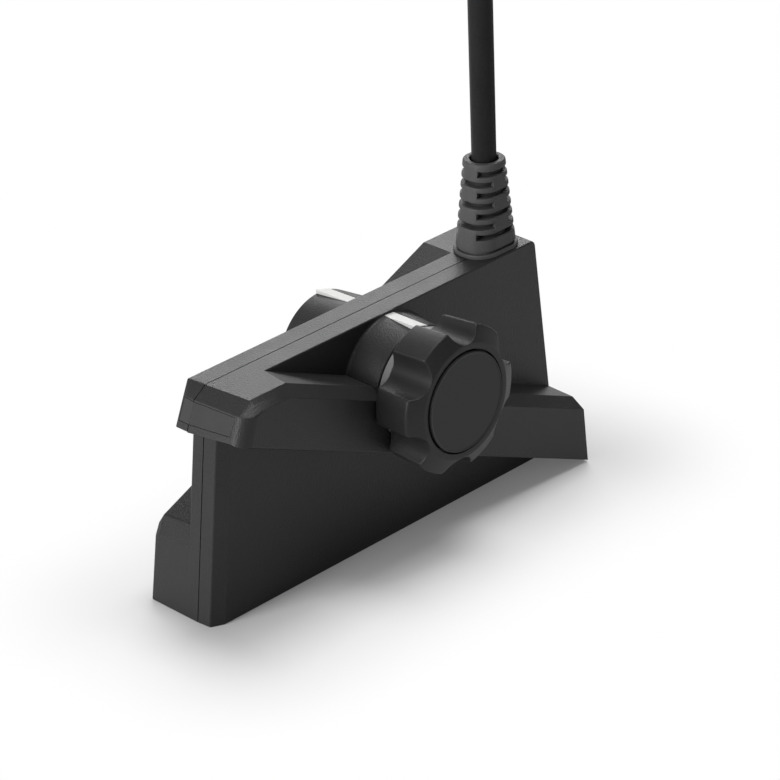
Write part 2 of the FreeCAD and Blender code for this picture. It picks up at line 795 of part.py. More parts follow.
SEAL_FLOOR = "(sleeve_radius - seal_groove_depth)"


def hub_sleeve():
    floor = SEAL_FLOOR
    half = "(seal_width / 2 + fit_gap)"
    inner = "bolt_radius + running_gap"
    corners = [("sleeve_near_end", inner), ("sleeve_near_end", "sleeve_radius")]
    for place_text in ("seal_place", "-seal_place"):
        corners += [("%s + %s" % (place_text, half), "sleeve_radius"),
                    ("%s + %s" % (place_text, half), floor),
                    ("%s - %s" % (place_text, half), floor),
                    ("%s - %s" % (place_text, half), "sleeve_radius")]
    corners += [("-sleeve_far_end", "sleeve_radius"), ("-sleeve_far_end", inner)]
    return turned("hub_sleeve", corners)


def sleeve_seal(label, side):
    """A square-cut ring in the sleeve's groove, tight against the bore."""
    low, high = ("%d * seal_place + %s * seal_width / 2" % (side, sign) for sign in ("-1", "1"))
    inner, outer = SEAL_FLOOR + " + fit_gap / 2", "sleeve_radius + fit_gap / 2"
    return turned(label, [(low, inner), (low, outer), (high, outer), (high, inner)])


PIECES.append(hub_sleeve())
PIECES.append(sleeve_seal("sleeve_seal_near", 1))
PIECES.append(sleeve_seal("sleeve_seal_far", -1))
PIECES.append(turned("thrust_washer", [
    ("near_drum_face + turning_gap", "bolt_radius + turning_gap"),
    ("near_drum_face + turning_gap", "washer_radius"),
    ("knob_back - turning_gap", "washer_radius"),
    ("knob_back - turning_gap", "bolt_radius + turning_gap")]))


# Clamp knob: six scallops round a dished grip, hollow behind, with a pocket for the bolt's head
def knob():
    recess = "cap_face - cap_thickness"
    body = turned("knob", [
        ("knob_back", "bushing_radius + fit_gap"),
        ("knob_back", "knob_back_radius - knob_round"),
        ("knob_back + knob_round", "knob_back_radius"),
        ("knob_edge", "knob_edge_radius"),
        ("knob_shoulder", "knob_shoulder_radius"),
        ("knob_shoulder", "cap_radius + cap_groove"),
        (recess, "cap_radius + cap_groove"),
        (recess, "bushing_radius + fit_gap")])
    scallop = sketch_on(body, "XZ", "scallop_circle", z="knob_back - 1")
    ring(scallop, "scallop_circle * cos(scallop_angle)", "scallop_circle * sin(scallop_angle)",
         "scallop_radius")
    pocket = extrude(body, "Pocket", "scallop", scallop, "knob_shoulder - knob_back + 2", reverse=True)
    pattern = body.newObject("PartDesign::PolarPattern", "scallops")
    pattern.Originals = [pocket]
    axis = [item for item in body.Origin.OriginFeatures if item.Role == "Y_Axis"][0]
    pattern.Axis = (axis, [""])
    pattern.Angle = 360
    pattern.Occurrences = SCALLOPS
    body.Tip = pattern
    doc.recompute()
    rounded = body.newObject("PartDesign::Fillet", "grip_round")
    rounded.Base = (pattern, grip_edges(pattern.Shape))
    rounded.Radius = value("knob_round")
    rounded.setExpression("Radius", bound("knob_round"))
    body.Tip = rounded
    hollow_back(body)
    head = sketch_on(body, "XZ", "head_hexagon", z="bolt_head_seat")
    outline(head, hexagon("bolt_head_flats / 2 + fit_gap"))
    extrude(body, "Pocket", "head_pocket", head, "%s - bolt_head_seat + 1" % recess, reverse=True)
    return body


def grip_edges(shape):
    """The edges along the grip where scallops meet the lobes, and those round its front."""
    names = []
    for number, edge in enumerate(shape.Edges, start=1):
        box_of = edge.BoundBox
        radii = [math.hypot(point.X, point.Z) for point in edge.Vertexes]
        lengthwise = box_of.YLength > value("(knob_edge - knob_back) / 2")
        if lengthwise and min(radii) > value("knob_shoulder_radius") + 1:
            names.append("Edge%d" % number)
    return names


def hexagon(apothem):
    """Six corners about the axis, flats square to X."""
    reach = "(%s) / cos(30)" % apothem
    return [("%s * cos(%d)" % (reach, angle), "%s * sin(%d)" % (reach, angle))
            for angle in range(30, 390, 60)]


def hollow_back(body):
    """Six pockets in the knob's back, parted by ribs."""
    sketch = sketch_on(body, "XZ", "hollow_cell", z="knob_back - 1")
    turn = "(180 / %d)" % KNOB_RIBS
    inner, outer = "knob_hollow_inner", "knob_hollow_outer"
    corners = []
    for radius, angle in ((inner, "-0.72"), (outer, "-0.82"), (outer, "0"), (outer, "0.82"),
                          (inner, "0.72"), (inner, "0")):
        corners.append(("%s * cos(55 + %s * %s)" % (radius, angle, turn),
                        "%s * sin(55 + %s * %s)" % (radius, angle, turn)))
    outline(sketch, corners)
    cell = extrude(body, "Pocket", "hollow_cell_cut", sketch, "knob_hollow_depth + 1", reverse=True)
    pattern = body.newObject("PartDesign::PolarPattern", "hollow_cells")
    pattern.Originals = [cell]
    axis = [item for item in body.Origin.OriginFeatures if item.Role == "Y_Axis"][0]
    pattern.Axis = (axis, [""])
    pattern.Angle = 360
    pattern.Occurrences = KNOB_RIBS
    body.Tip = pattern


def clamp_bolt():
    body = turned("clamp_bolt", [
        ("bolt_head_seat + 1", "0"), ("bolt_head_seat + 1", "bolt_radius"),
        ("-ring_place", "bolt_radius"), ("-ring_place", "ring_groove_radius"),
        ("-ring_place - ring_thickness - 2 * fit_gap", "ring_groove_radius"),
        ("-ring_place - ring_thickness - 2 * fit_gap", "bolt_radius"),
        ("-far_drum_face - fit_gap", "bolt_radius"),
        ("-far_drum_face - fit_gap", "bolt_thread_radius"),
        ("-bolt_end + bolt_tip_bevel", "bolt_thread_radius"),
        ("-bolt_end", "bolt_thread_radius - bolt_tip_bevel"), ("-bolt_end", "0")])
    head = sketch_on(body, "XZ", "head_hexagon", z="bolt_head_seat")
    outline(head, hexagon("bolt_head_flats / 2"))
    extrude(body, "Pad", "head", head, "bolt_head_height")
    return body


PIECES.append(knob())
PIECES.append(clamp_bolt())
PIECES.append(turned("knob_bushing", [
    ("knob_back + bushing_recess", "bolt_radius + fit_gap"),
    ("knob_back + bushing_recess", "bushing_radius"),
    ("bolt_head_seat", "bushing_radius"), ("bolt_head_seat", "bolt_radius + fit_gap")]))
PIECES.append(turned("knob_cap", [
    ("cap_face - cap_thickness", "0"), ("cap_face - cap_thickness", "cap_radius"),
    ("cap_face - cap_edge", "cap_radius"), ("cap_face", "cap_radius - cap_edge"), ("cap_face", "0")]))


def retaining_ring():
    """An open ring in the bolt's groove, which keeps the bolt in the hub."""
    body = new_body("retaining_ring")
    sketch = sketch_on(body, "XZ", "circles", z="-ring_place - ring_thickness - fit_gap")
    ring(sketch, "0", "0", "ring_groove_radius + fit_gap")
    ring(sketch, "0", "0", "ring_radius")
    extrude(body, "Pad", "disc", sketch, "ring_thickness")
    gap = sketch_on(body, "XZ", "opening", z="-ring_place - ring_thickness - 1")
    half = "(ring_groove_radius * 0.7)"
    outline(gap, [(half, "0"), (half, "ring_radius + 1"), ("-" + half, "ring_radius + 1"),
                  ("-" + half, "0")])
    extrude(body, "Pocket", "mouth", gap, "ring_thickness + 2", reverse=True)
    place(body, "hub_x", "0", "hub_height")
    return body


PIECES.append(retaining_ring())


# Seam gasket: a square bead in the near half's groove, open where the gland passes
def seam_gasket():
    body = new_body("seam_gasket")
    sketch = outline(sketch_on(body, "XZ", "bead"), gasket_frame("gasket_margin"))
    outline(sketch, gasket_frame("(gasket_margin + gasket_width)"))
    extrude(body, "Pad", "bead_pad", sketch, "gasket_width")
    hole = ring(sketch_on(body, "XY", "gland_gap", z="body_height + 1"), "cable_x", "cable_y",
                "gland_radius + fit_gap")
    extrude(body, "Pocket", "gland_gap_cut", hole, "6")
    return body


PIECES.append(seam_gasket())


# Arrays: a matching layer on the floor, a row of elements on it and the backing on top
def array_stack(label, start, angle, near_edge, width, run, count):
    """Three nodes laid along a floor that slopes by an angle."""
    def slab_box(name, from_run, length, rise, height):
        x, z = along(start, angle, from_run, rise)
        item = doc.addObject("Part::Box", name)
        item.Placement = FreeCAD.Placement(Vector(), FreeCAD.Rotation(Vector(0, 1, 0), 10))
        if angle != "0":
            item.setExpression("Placement.Rotation.Angle", bound(angle))
        else:
            item.Placement = FreeCAD.Placement()
        for prop, text in (("Length", length), ("Width", width), ("Height", height)):
            item.setExpression(prop, bound(text))
        place(item, x, near_edge, z)
        return item
    matching = slab_box(label + "_matching_layer", "array_margin", run, "0", "matching_thickness")
    elements = []
    pitch = "((%s) / %d)" % (run, count)
    for k in range(count):
        elements.append(slab_box("%s_element_%d" % (label, k),
                                 "array_margin + element_gap / 2 + %d * %s" % (k, pitch),
                                 pitch + " - element_gap", "matching_thickness", "element_height"))
    backing = slab_box(label + "_backing", "array_margin", run,
                       "matching_thickness + element_height", "backing_height")
    return [named(matching, label + "_matching_layer"), group(label + "_elements", elements),
            named(backing, label + "_backing")]


PIECES += array_stack("near_array", NEAR_START, NEAR_ANGLE, "-near_cavity_depth + fit_gap",
                      "wing_array_width", "near_cavity_length - 2 * array_margin", WING_ELEMENTS)
PIECES += array_stack("far_array", FAR_START, FAR_ANGLE, "far_cavity_depth - fit_gap - wing_array_width",
                      "wing_array_width", "far_cavity_length - 2 * array_margin", WING_ELEMENTS)
PIECES += array_stack("keel_array", ("-keel_array_half", "wall_bottom"), "0",
                      "-keel_array_width / 2", "keel_array_width",
                      "2 * keel_array_half - 2 * array_margin", KEEL_ELEMENTS)


# Electronics: a board gripped between posts, its chips, connectors, flexes and the cable's wires
NEAR_FACE = "(-board_thickness / 2)"
KEEL_TOP = "(wall_bottom + matching_thickness + element_height + backing_height)"
FLEX_LEFT = "(board_left + 9)"

PIECES.append(named(box("board", ("board_right - board_left", "board_thickness",
                                  "board_top - board_bottom"),
                        ("board_left", NEAR_FACE, "board_bottom")), "circuit_board"))
PIECES.append(named(box("processor", ("chip_side", "chip_height", "chip_side"),
                        ("board_left + 13", NEAR_FACE + " - chip_height", "board_top - chip_side - 2")),
                    "processor_chip"))
PIECES.append(group("driver_chips", [
    box("driver_%d" % k, ("driver_length", "chip_height", "driver_width"),
        ("board_left + 9 + %d * (driver_length + 2)" % k, "board_thickness / 2", "board_bottom + 9"))
    for k in range(3)]))
PIECES.append(named(box("header", ("header_length", "connector_height", "connector_width"),
                        ("cable_x - header_length / 2 - 3", "board_thickness / 2",
                         "board_top - connector_width - 1")), "cable_header"))


def flex_height(start, angle):
    """Half way up the backing's side, beside the middle of the flex."""
    middle = "(%s + flex_width / 2 - %s)" % (FLEX_LEFT, start[0])
    stack = "(matching_thickness + element_height + backing_height / 2) / cos(%s)" % angle
    return "(%s - %s * tan(%s) + %s)" % (start[1], middle, angle, stack)


def array_flex(label, side, height, backing_edge, connector_z):
    """A flat flex: out of the backing's side, along the cavity and into its connector."""
    s = -side
    face = "(%s)" % backing_edge
    plug = "(board_thickness / 2 + connector_height)"
    up = "(%s + flex_fold)" % plug
    level = "(%s + connector_width / 2 - flex_thickness / 2)" % connector_z
    thick = "flex_thickness"
    inner, outer = up, "(%s + %s)" % (up, thick)
    if value(level) > value(height):
        corners = [(face, height), (face, "%s + %s" % (height, thick)),
                   (outer, "%s + %s" % (height, thick)), (outer, "%s + %s" % (level, thick)),
                   (plug, "%s + %s" % (level, thick)), (plug, level), (inner, level), (inner, height)]
    else:
        corners = [(face, "%s + %s" % (height, thick)), (face, height), (outer, height),
                   (outer, level), (plug, level), (plug, "%s + %s" % (level, thick)),
                   (inner, "%s + %s" % (level, thick)), (inner, "%s + %s" % (height, thick))]
    body = new_body(label)
    sketch = sketch_on(body, "YZ", "strip_profile", z=FLEX_LEFT)
    outline(sketch, [("%d * (%s)" % (s, y), z) for y, z in corners])
    extrude(body, "Pad", "strip", sketch, "flex_width")
    return body


NEAR_CONNECTOR = "(board_bottom + 4)"
FAR_CONNECTOR = "(board_top - connector_width - 5)"
PIECES.append(group("array_connectors", [
    box("near_connector", ("flex_width + 1", "connector_height", "connector_width"),
        (FLEX_LEFT + " - 0.5", NEAR_FACE + " - connector_height", NEAR_CONNECTOR)),
    box("far_connector", ("flex_width + 1", "connector_height", "connector_width"),
        (FLEX_LEFT + " - 0.5", "board_thickness / 2", FAR_CONNECTOR))]))
PIECES.append(array_flex("near_flex", 1, flex_height(NEAR_START, NEAR_ANGLE),
                         "near_cavity_depth - fit_gap - wing_array_width", NEAR_CONNECTOR))
PIECES.append(array_flex("far_flex", -1, flex_height(FAR_START, FAR_ANGLE),
                         "far_cavity_depth - fit_gap - wing_array_width", FAR_CONNECTOR))
PIECES.append(named(box("keel_strip", ("flex_width", "flex_thickness",
                                       "board_bottom + 3 - " + KEEL_TOP),
                        ("board_right - 2 * post_inset - post_radius - flex_width",
                         NEAR_FACE + " - flex_thickness", KEEL_TOP)), "keel_flex"))


# Cable entry: gland in the top wall, the cable's end, its clamp and screws, and the core wires
def cable_gland():
    body = new_body("cable_gland")
    sketch = sketch_on(body, "XY", "rings", z="body_height - gland_height + boot_flange_height / 2")
    ring(sketch, "cable_x", "cable_y", "gland_radius")
    ring(sketch, "cable_x", "cable_y", "cable_radius + fit_gap")
    extrude(body, "Pad", "tube", sketch, "gland_height - boot_flange_height / 2")
    return body


PIECES.append(cable_gland())
PIECES.append(named(cylinder("cable_inside", "cable_radius", "boot_top - boot_mouth_depth - cable_end",
                             ("cable_x", "cable_y", "cable_end")), "cable_end_inside"))
PIECES.append(group("core_wires", [
    cylinder("wire_%d" % k, "wire_radius", "cable_end - (board_top - 1)",
             ("cable_x - 3 + %d * wire_pitch" % k, "(board_thickness + connector_height) / 2",
              "board_top - 1"))
    for k in range(WIRES)]))

SCREW_OUT = "(clamp_length / 2 + cable_radius) / 2"


def cable_clamp():
    """A split block round the cable's end that takes its pull."""
    body = new_body("cable_clamp")
    sketch = sketch_on(body, "XY", "outline", z="cable_end + clamp_rise")
    side = "(half_thickness - wall_side - fit_gap)"
    rounded_box(sketch, "cable_x", "0", "clamp_length / 2", side, "clamp_corner")
    for sign in (-1, 1):
        ring(sketch, "cable_x + %d * %s" % (sign, SCREW_OUT), "0", "screw_radius + fit_gap")
    extrude(body, "Pad", "block", sketch, "clamp_height")
    hole = ring(sketch_on(body, "XY", "hole", z="cable_end"), "cable_x", "cable_y",
                "cable_radius + fit_gap")
    extrude(body, "Pocket", "cable_hole", hole, "clamp_height + 4", reverse=True)
    return body


PIECES.append(cable_clamp())
screws = []
for sign in (-1, 1):
    middle = "cable_x + %d * %s" % (sign, SCREW_OUT)
    shank = cylinder("screw_shank_%d" % (sign + 1), "screw_radius", "clamp_height",
                     (middle, "0", "cable_end + clamp_rise"))
    head = cylinder("screw_head_%d" % (sign + 1), "screw_head_radius", "screw_head_height",
                    (middle, "0", "cable_end + clamp_rise + clamp_height"))
    screw = doc.addObject("Part::MultiFuse", "screw_%d" % (sign + 1))
    screw.Shapes = [shank, head]
    screws.append(screw)
PIECES.append(group("clamp_screws", screws))


# Strain relief boot: a flanged sleeve, tapering, with rows of slots turned a quarter each row
def strain_relief_boot():
    body = new_body("boot_blank")
    foot = sketch_on(body, "XY", "flange", z="body_height")
    rounded_box(foot, "cable_x", "cable_y", "boot_flange_x", "boot_flange_y", "boot_flange_corner")
    extrude(body, "Pad", "flange_pad", foot, "boot_flange_height")
    neck = sketch_on(body, "XY", "neck", z="body_height + boot_flange_height")
    rounded_box(neck, "cable_x", "cable_y", "boot_flange_x - boot_neck", "boot_flange_y - boot_neck",
                "boot_flange_corner - boot_neck")
    extrude(body, "Pad", "neck_pad", neck, "boot_neck_height")
    base = "body_height + boot_flange_height + boot_neck_height"
    low = sketch_on(body, "XY", "taper_base", z=base)
    rounded_box(low, "cable_x", "cable_y", "boot_base_x", "boot_base_y", "boot_base_corner")
    high = sketch_on(body, "XY", "taper_top", z="boot_top")
    rounded_box(high, "cable_x", "cable_y", "boot_top_half", "boot_top_half", "boot_top_corner")
    loft(body, "AdditiveLoft", "taper", [low, high])
    way = ring(sketch_on(body, "XY", "cable_way", z="body_height - 1"), "cable_x", "cable_y",
               "cable_radius + fit_gap")
    extrude(body, "Pocket", "cable_way_cut", way, "boot_top", reverse=True)
    seat = ring(sketch_on(body, "XY", "gland_seat", z="body_height - 1"), "cable_x", "cable_y",
                "gland_radius + fit_gap")
    extrude(body, "Pocket", "gland_seat_cut", seat, "1 + boot_flange_height / 2", reverse=True)
    mouth = ring(sketch_on(body, "XY", "mouth", z="boot_top + 1"), "cable_x", "cable_y",
                 "boot_mouth_radius")
    extrude(body, "Pocket", "mouth_cut", mouth, "boot_mouth_depth + 1")
    sectors = []
    for row in range(SLOT_ROWS):
        turn = 90 if row % 2 == 0 else 0
        for half in (0, 180):
            sector = doc.addObject("Part::Cylinder", "slot_%d_%d" % (row, half))
            sector.Placement = FreeCAD.Placement(Vector(), FreeCAD.Rotation(Vector(0, 0, 1), 10))
            sector.setExpression("Placement.Rotation.Angle",
                                 bound("%d - slot_half_angle" % (turn + half)))
            sector.setExpression("Angle", bound("2 * slot_half_angle"))
            sector.setExpression("Radius", bound("boot_base_x + 4"))
            sector.setExpression("Height", bound("slot_height"))
            place(sector, "cable_x", "cable_y",
                  "slot_first + %d * slot_pitch - slot_height / 2" % row)
            sectors.append(sector)
    slots = group("boot_slots", sectors)
    core = doc.addObject("Part::Cone", "slot_floor")
    core.setExpression("Radius1", bound("slot_floor_low"))
    core.setExpression("Radius2", bound("slot_floor_high"))
    core.setExpression("Height", bound("boot_top - body_height"))
    place(core, "cable_x", "cable_y", "body_height")
    return named(cut("boot_slotted", body, cut("slot_rings", slots, core)), "strain_relief_boot")


PIECES.append(strain_relief_boot())


# Cord: a tube of straight runs joined by tangent arcs
def tube_path(points):
    """Straight runs with an arc at each point, 0.45 of the shorter run back from it."""
    corners = [Vector(*point) for point in points]
    edges, start, radii = [], corners[0], []
    for before, corner, after in zip(corners, corners[1:], corners[2:]):
        back = (before - corner).normalize()
        onward = (after - corner).normalize()
        trim = 0.45 * min((before - corner).Length, (after - corner).Length)
        half_turn = (math.pi - back.getAngle(onward)) / 2
        radii.append(trim / math.tan(half_turn))
        first, last = corner + back * trim, corner + onward * trim
        bisector = (back + onward).normalize()
        middle = corner + bisector * (radii[-1] / math.cos(half_turn) - radii[-1])
        edges.append(Part.LineSegment(start, first).toShape())
        edges.append(Part.Arc(first, middle, last).toShape())
        start = last
    edges.append(Part.LineSegment(start, corners[-1]).toShape())
    return Part.Wire(edges), radii


def cord_tube(label, points):
    """A round tube of the cable's radius along a route."""
    path, radii = tube_path(points)
    along_start = Vector(*points[1]) - Vector(*points[0])
    radius = value("cable_radius")
    section = Part.Wire([Part.makeCircle(radius, Vector(*points[0]), along_start)])
    solid = path.makePipeShell([section], True, False)
    expected = math.pi * radius ** 2 * path.Length
    print(label, "radii", [round(r, 1) for r in radii], "length", round(path.Length, 1),
          "volume ratio", round(solid.Volume / expected, 5))
    return solid


def hank_shape():
    """A flat-sided loop of turns: a stadium ring, standing on the floor."""
    left, right = value("hank_left"), value("hank_left + hank_straight")
    middle, height = value("hank_middle"), value("hank_height")
    faces = []
    for radius in (value("hank_outer_radius"), value("hank_inner_radius")):
        top, bottom = middle + radius, middle - radius
        edges = [
            Part.LineSegment(Vector(left, bottom, 0), Vector(right, bottom, 0)).toShape(),
            Part.Arc(Vector(right, bottom, 0), Vector(right + radius, middle, 0),
                     Vector(right, top, 0)).toShape(),
            Part.LineSegment(Vector(right, top, 0), Vector(left, top, 0)).toShape(),
            Part.Arc(Vector(left, top, 0), Vector(left - radius, middle, 0),
                     Vector(left, bottom, 0)).toShape()]
        faces.append(Part.Face(Part.Wire(edges)))
    return faces[0].cut(faces[1]).extrude(Vector(0, 0, height))


def feature(label, shape):
    """A shape worked out in code, kept as an object of the document."""
    item = doc.addObject("Part::Feature", label)
    item.Label = label
    item.Shape = shape
    return item


hank = hank_shape()
if hank.ShapeType == "Compound":
    hank = hank.Solids[0]
PIECES.append(feature("cord_hank", hank))
for label, points in (("cord_run", CORD_RUN), ("cord_tail", CORD_TAIL)):
    outside = cord_tube(label, points).cut(hank).Solids
    PIECES.append(feature(label, max(outside, key=lambda solid: solid.Volume)))


# Plug on the cord's end, lying on the hank, its axis along -X
PLUG_HEIGHT = "(hank_height + collar_radius)"
BODY_BACK = "(plug_boot_length)"
BODY_END = "(plug_boot_length + plug_body_length)"
NOSE_END = "(plug_boot_length + plug_body_length + plug_nose_length)"


def plug_turned(label, corners):
    """A body turned about the plug's axis; corners are (distance from its back, radius)."""
    body = new_body(label)
    sketch = sketch_on(body, "XZ", "profile")
    outline(sketch, [("-(%s)" % run, radius) for run, radius in corners])
    revolve(body, "Revolution", "turned", sketch)
    place(body, "plug_back", "plug_y", PLUG_HEIGHT)
    return body


PIECES.append(plug_turned("plug_boot", [
    ("0", "0"), ("0", "plug_boot_tip"), ("plug_boot_length - 3", "plug_body_radius - 0.8"),
    ("plug_boot_length", "plug_body_radius - 0.8"), ("plug_boot_length", "0")]))
PIECES.append(plug_turned("plug_body", [
    (BODY_BACK, "0"), (BODY_BACK, "plug_body_radius - 0.4"), (BODY_BACK + " + 0.4", "plug_body_radius"),
    (BODY_END, "plug_body_radius"), (BODY_END, "plug_nose_radius"), (NOSE_END, "plug_nose_radius"),
    (NOSE_END, "plug_nose_bore"), (NOSE_END + " - insulator_length - 2", "plug_nose_bore"),
    (NOSE_END + " - insulator_length - 2", "0")]))
COLLAR_START = "(%s + turning_gap)" % BODY_END
COLLAR_END = "(%s + collar_length)" % COLLAR_START
PIECES.append(plug_turned("plug_collar", [
    (COLLAR_START, "plug_nose_radius + turning_gap"), (COLLAR_START, "collar_radius - 0.5"),
    (COLLAR_START + " + 0.5", "collar_radius"), (COLLAR_END + " - 0.5", "collar_radius"),
    (COLLAR_END, "collar_radius - 0.5"), (COLLAR_END, "plug_nose_radius + turning_gap")]))
INSULATOR_BACK = "(%s - insulator_length - 2)" % NOSE_END
PIECES.append(plug_turned("plug_insulator", [
    (INSULATOR_BACK, "0"), (INSULATOR_BACK, "plug_nose_bore - fit_gap"),
    (INSULATOR_BACK + " + insulator_length - 3", "plug_nose_bore - fit_gap"),
    (INSULATOR_BACK + " + insulator_length - 3", "0")]))


def plug_pins():
    pins = []
    for k in range(PIN_COUNT):
        angle = 360.0 * k / PIN_COUNT
        pins.append(cylinder("pin_%d" % k, "pin_radius", "pin_length",
                             ("plug_back - (%s + insulator_length - 3)" % INSULATOR_BACK,
                              "plug_y + pin_circle * cos(%g)" % angle,
                              PLUG_HEIGHT + " + pin_circle * sin(%g)" % angle), (-1, 0, 0)))
    return group("plug_pins", pins)


PIECES.append(plug_pins())

doc.recompute()

# Every object has to be sound before anything is written
faults = [item.Label for item in doc.Objects if set(item.State) & {"Invalid", "Error"}]
for piece in PIECES:
    if piece.Shape.isNull() or not piece.Shape.isValid() or not piece.Shape.Solids:
        faults.append(piece.Label)
if faults:
    raise RuntimeError("not sound: " + ", ".join(faults))
labels = [piece.Label for piece in PIECES]
assert len(labels) == len(set(labels)), "labels repeat"
for piece in PIECES:
    piece.Shape.exportStep("parts/%s.step" % piece.Label)
    print(piece.Label, len(piece.Shape.Solids), "solid(s)", round(piece.Shape.Volume, 1), "mm3")
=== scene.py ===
import math

import bmesh
import bpy
import numpy as np
from mathutils import Matrix, Vector


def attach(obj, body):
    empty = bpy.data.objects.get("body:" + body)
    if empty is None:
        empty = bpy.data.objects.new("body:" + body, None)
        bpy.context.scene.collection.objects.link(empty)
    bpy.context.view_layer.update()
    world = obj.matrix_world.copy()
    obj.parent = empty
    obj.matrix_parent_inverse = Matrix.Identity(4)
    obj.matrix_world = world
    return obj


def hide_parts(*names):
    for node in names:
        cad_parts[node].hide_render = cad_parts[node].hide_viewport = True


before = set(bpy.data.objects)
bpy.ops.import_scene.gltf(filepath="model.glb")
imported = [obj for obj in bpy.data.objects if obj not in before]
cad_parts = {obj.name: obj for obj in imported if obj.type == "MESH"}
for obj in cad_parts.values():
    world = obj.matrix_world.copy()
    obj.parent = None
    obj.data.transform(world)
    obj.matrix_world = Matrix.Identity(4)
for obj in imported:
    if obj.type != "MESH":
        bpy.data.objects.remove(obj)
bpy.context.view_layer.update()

MM = 0.001

# Camera: the viewing angle of the photograph, fitted to the corners of the two housing halves.
# A long lens from the front left, a little above, rolled by under two degrees.
azimuth, elevation, roll = np.radians((-46.068, 26.485, -1.856))
target = Vector((7.97, 0.0, 42.47)) * MM
distance, focal_length, film_width = 1.1436, 180.97, 36.0
backward = Vector((math.sin(azimuth) * math.cos(elevation),
                   -math.cos(azimuth) * math.cos(elevation), math.sin(elevation)))
level = Vector((math.cos(azimuth), math.sin(azimuth), 0.0))
upward = backward.cross(level)
across = math.cos(roll) * level + math.sin(roll) * upward
above = -math.sin(roll) * level + math.cos(roll) * upward
placing = Matrix((across, above, backward)).transposed().to_4x4()
placing.translation = target + distance * backward
lens = bpy.data.cameras.new("camera")
lens.sensor_width = film_width
lens.lens = focal_length
lens.clip_start, lens.clip_end = 0.05, 30.0


def put_in_scene(name, data):
    """A new object of the scene, at its origin."""
    thing = bpy.data.objects.new(name, data)
    bpy.context.collection.objects.link(thing)
    return thing


camera = put_in_scene("camera", lens)
camera.matrix_world = placing
bpy.context.scene.camera = camera
bpy.context.scene.view_settings.view_transform = "Standard"

# Cable: round, with an extruded polyurethane jacket. It leaves the boot upwards, comes down behind
# the housing into a hank of eighteen turns on the floor, and ends in the plug that lies on it.
cable_diameter = 7.5
cable_radius = cable_diameter / 2
exit_x, exit_y, exit_z = 52.2, 1.4, 98.1
plug_back, plug_y, plug_z = 280.0, 14.25, 54.0
run_points = [
    (exit_x, exit_y, exit_z), (51.6, 1.1, 145.0), (51.4, 1.0, 165.0), (73.0, -9.0, 203.0),
    (115.0, -29.0, 210.6), (150.0, -44.0, 177.0), (162.0, -49.8, 123.0), (168.0, -50.9, 73.0),
    (186.0, -51.3, 31.0), (219.0, -51.1, 8.0), (258.0, -51.25, 3.8),
]
tail_points = [(295.0, plug_y, plug_z), (plug_back, plug_y, plug_z)]
hank_left, hank_right, hank_middle = 243.0, 301.0, -14.75
lanes = (36.5, 29.0, 21.5)
hank_rows, arc_step = 6, 30.0
arc_angles = np.radians((np.arange(6) - 2.5) * arc_step)
arc_reach = 1.0 / math.cos(math.radians(arc_step / 2))


def points_of(*places):
    """Points from x and z or x, y and z, each an array or one number for all."""
    return np.stack(np.broadcast_arrays(*places), -1)


def hank_turn(radius, height, next_radius, next_height, first=False):
    """One turn of the hank in spline points: round, along the far run, round, along the near run to
    the next lane or row. A half circle's points stand thirty degrees apart, just outside it, so that
    the curve touches it between them."""
    reach = radius * arc_reach
    along, aside = reach * np.cos(arc_angles), reach * np.sin(arc_angles)
    right = points_of(hank_right + along, hank_middle + aside, height)
    left = points_of(hank_left - along, hank_middle - aside, height)
    far = np.array([(288.0, hank_middle + radius, height), (258.0, hank_middle + radius, height)])
    near = np.array([(252.0, hank_middle - radius, height),
                     (266.0, hank_middle - radius, next_height),
                     (294.0, hank_middle - next_radius, next_height)])
    start = np.array([(288.0, hank_middle - radius, height)]) if first else np.zeros((0, 3))
    return np.concatenate((start, right, far, left, near))


order = [(lane, cable_radius + cable_diameter * row) for row in range(hank_rows)
         for lane in (lanes if row % 2 == 0 else lanes[::-1])]
turns = [hank_turn(*order[k], *order[k + 1], first=k == 0) for k in range(len(order) - 1)]
last_height = order[-1][1]
last_radius = np.array([36.5, 36.5, 36.2, 35.0, 32.5, 29.0]) * arc_reach
last_rise = np.array([0.0, 1.1, 3.3, 5.8, 8.6, 11.4])
last_turn = points_of(hank_right + last_radius * np.cos(arc_angles),
                      hank_middle + last_radius * np.sin(arc_angles), last_height + last_rise)
route = np.concatenate([np.array(run_points)] + turns + [last_turn, np.array(tail_points)]) * MM

cable_curve = bpy.data.curves.new("cable", "CURVE")
cable_curve.dimensions = "3D"
spline = cable_curve.splines.new("NURBS")
spline.points.add(len(route) - 1)
spline.points.foreach_set("co", np.column_stack((route, np.ones(len(route)))).ravel())
spline.order_u = 3
spline.use_endpoint_u = True
spline.resolution_u = 5
cable_curve.bevel_depth = cable_radius * MM
cable_curve.bevel_resolution = 5
cable = put_in_scene("cable", cable_curve)


def shader_node(tree, kind, *values, **settings):
    """Adds a shader node with its settings and with values for some of its inputs."""
    node = tree.nodes.new("ShaderNode" + kind)
    for name, setting in settings.items():
        setattr(node, name, setting)
    for socket, value in values:
        node.inputs[socket].default_value = value
    return node


def wire(tree, *links):
    """Joins shader sockets: each link is a node, its output, the next node and its input."""
    for before, output, after, socket in links:
        tree.links.new(before.outputs[output], after.inputs[socket])


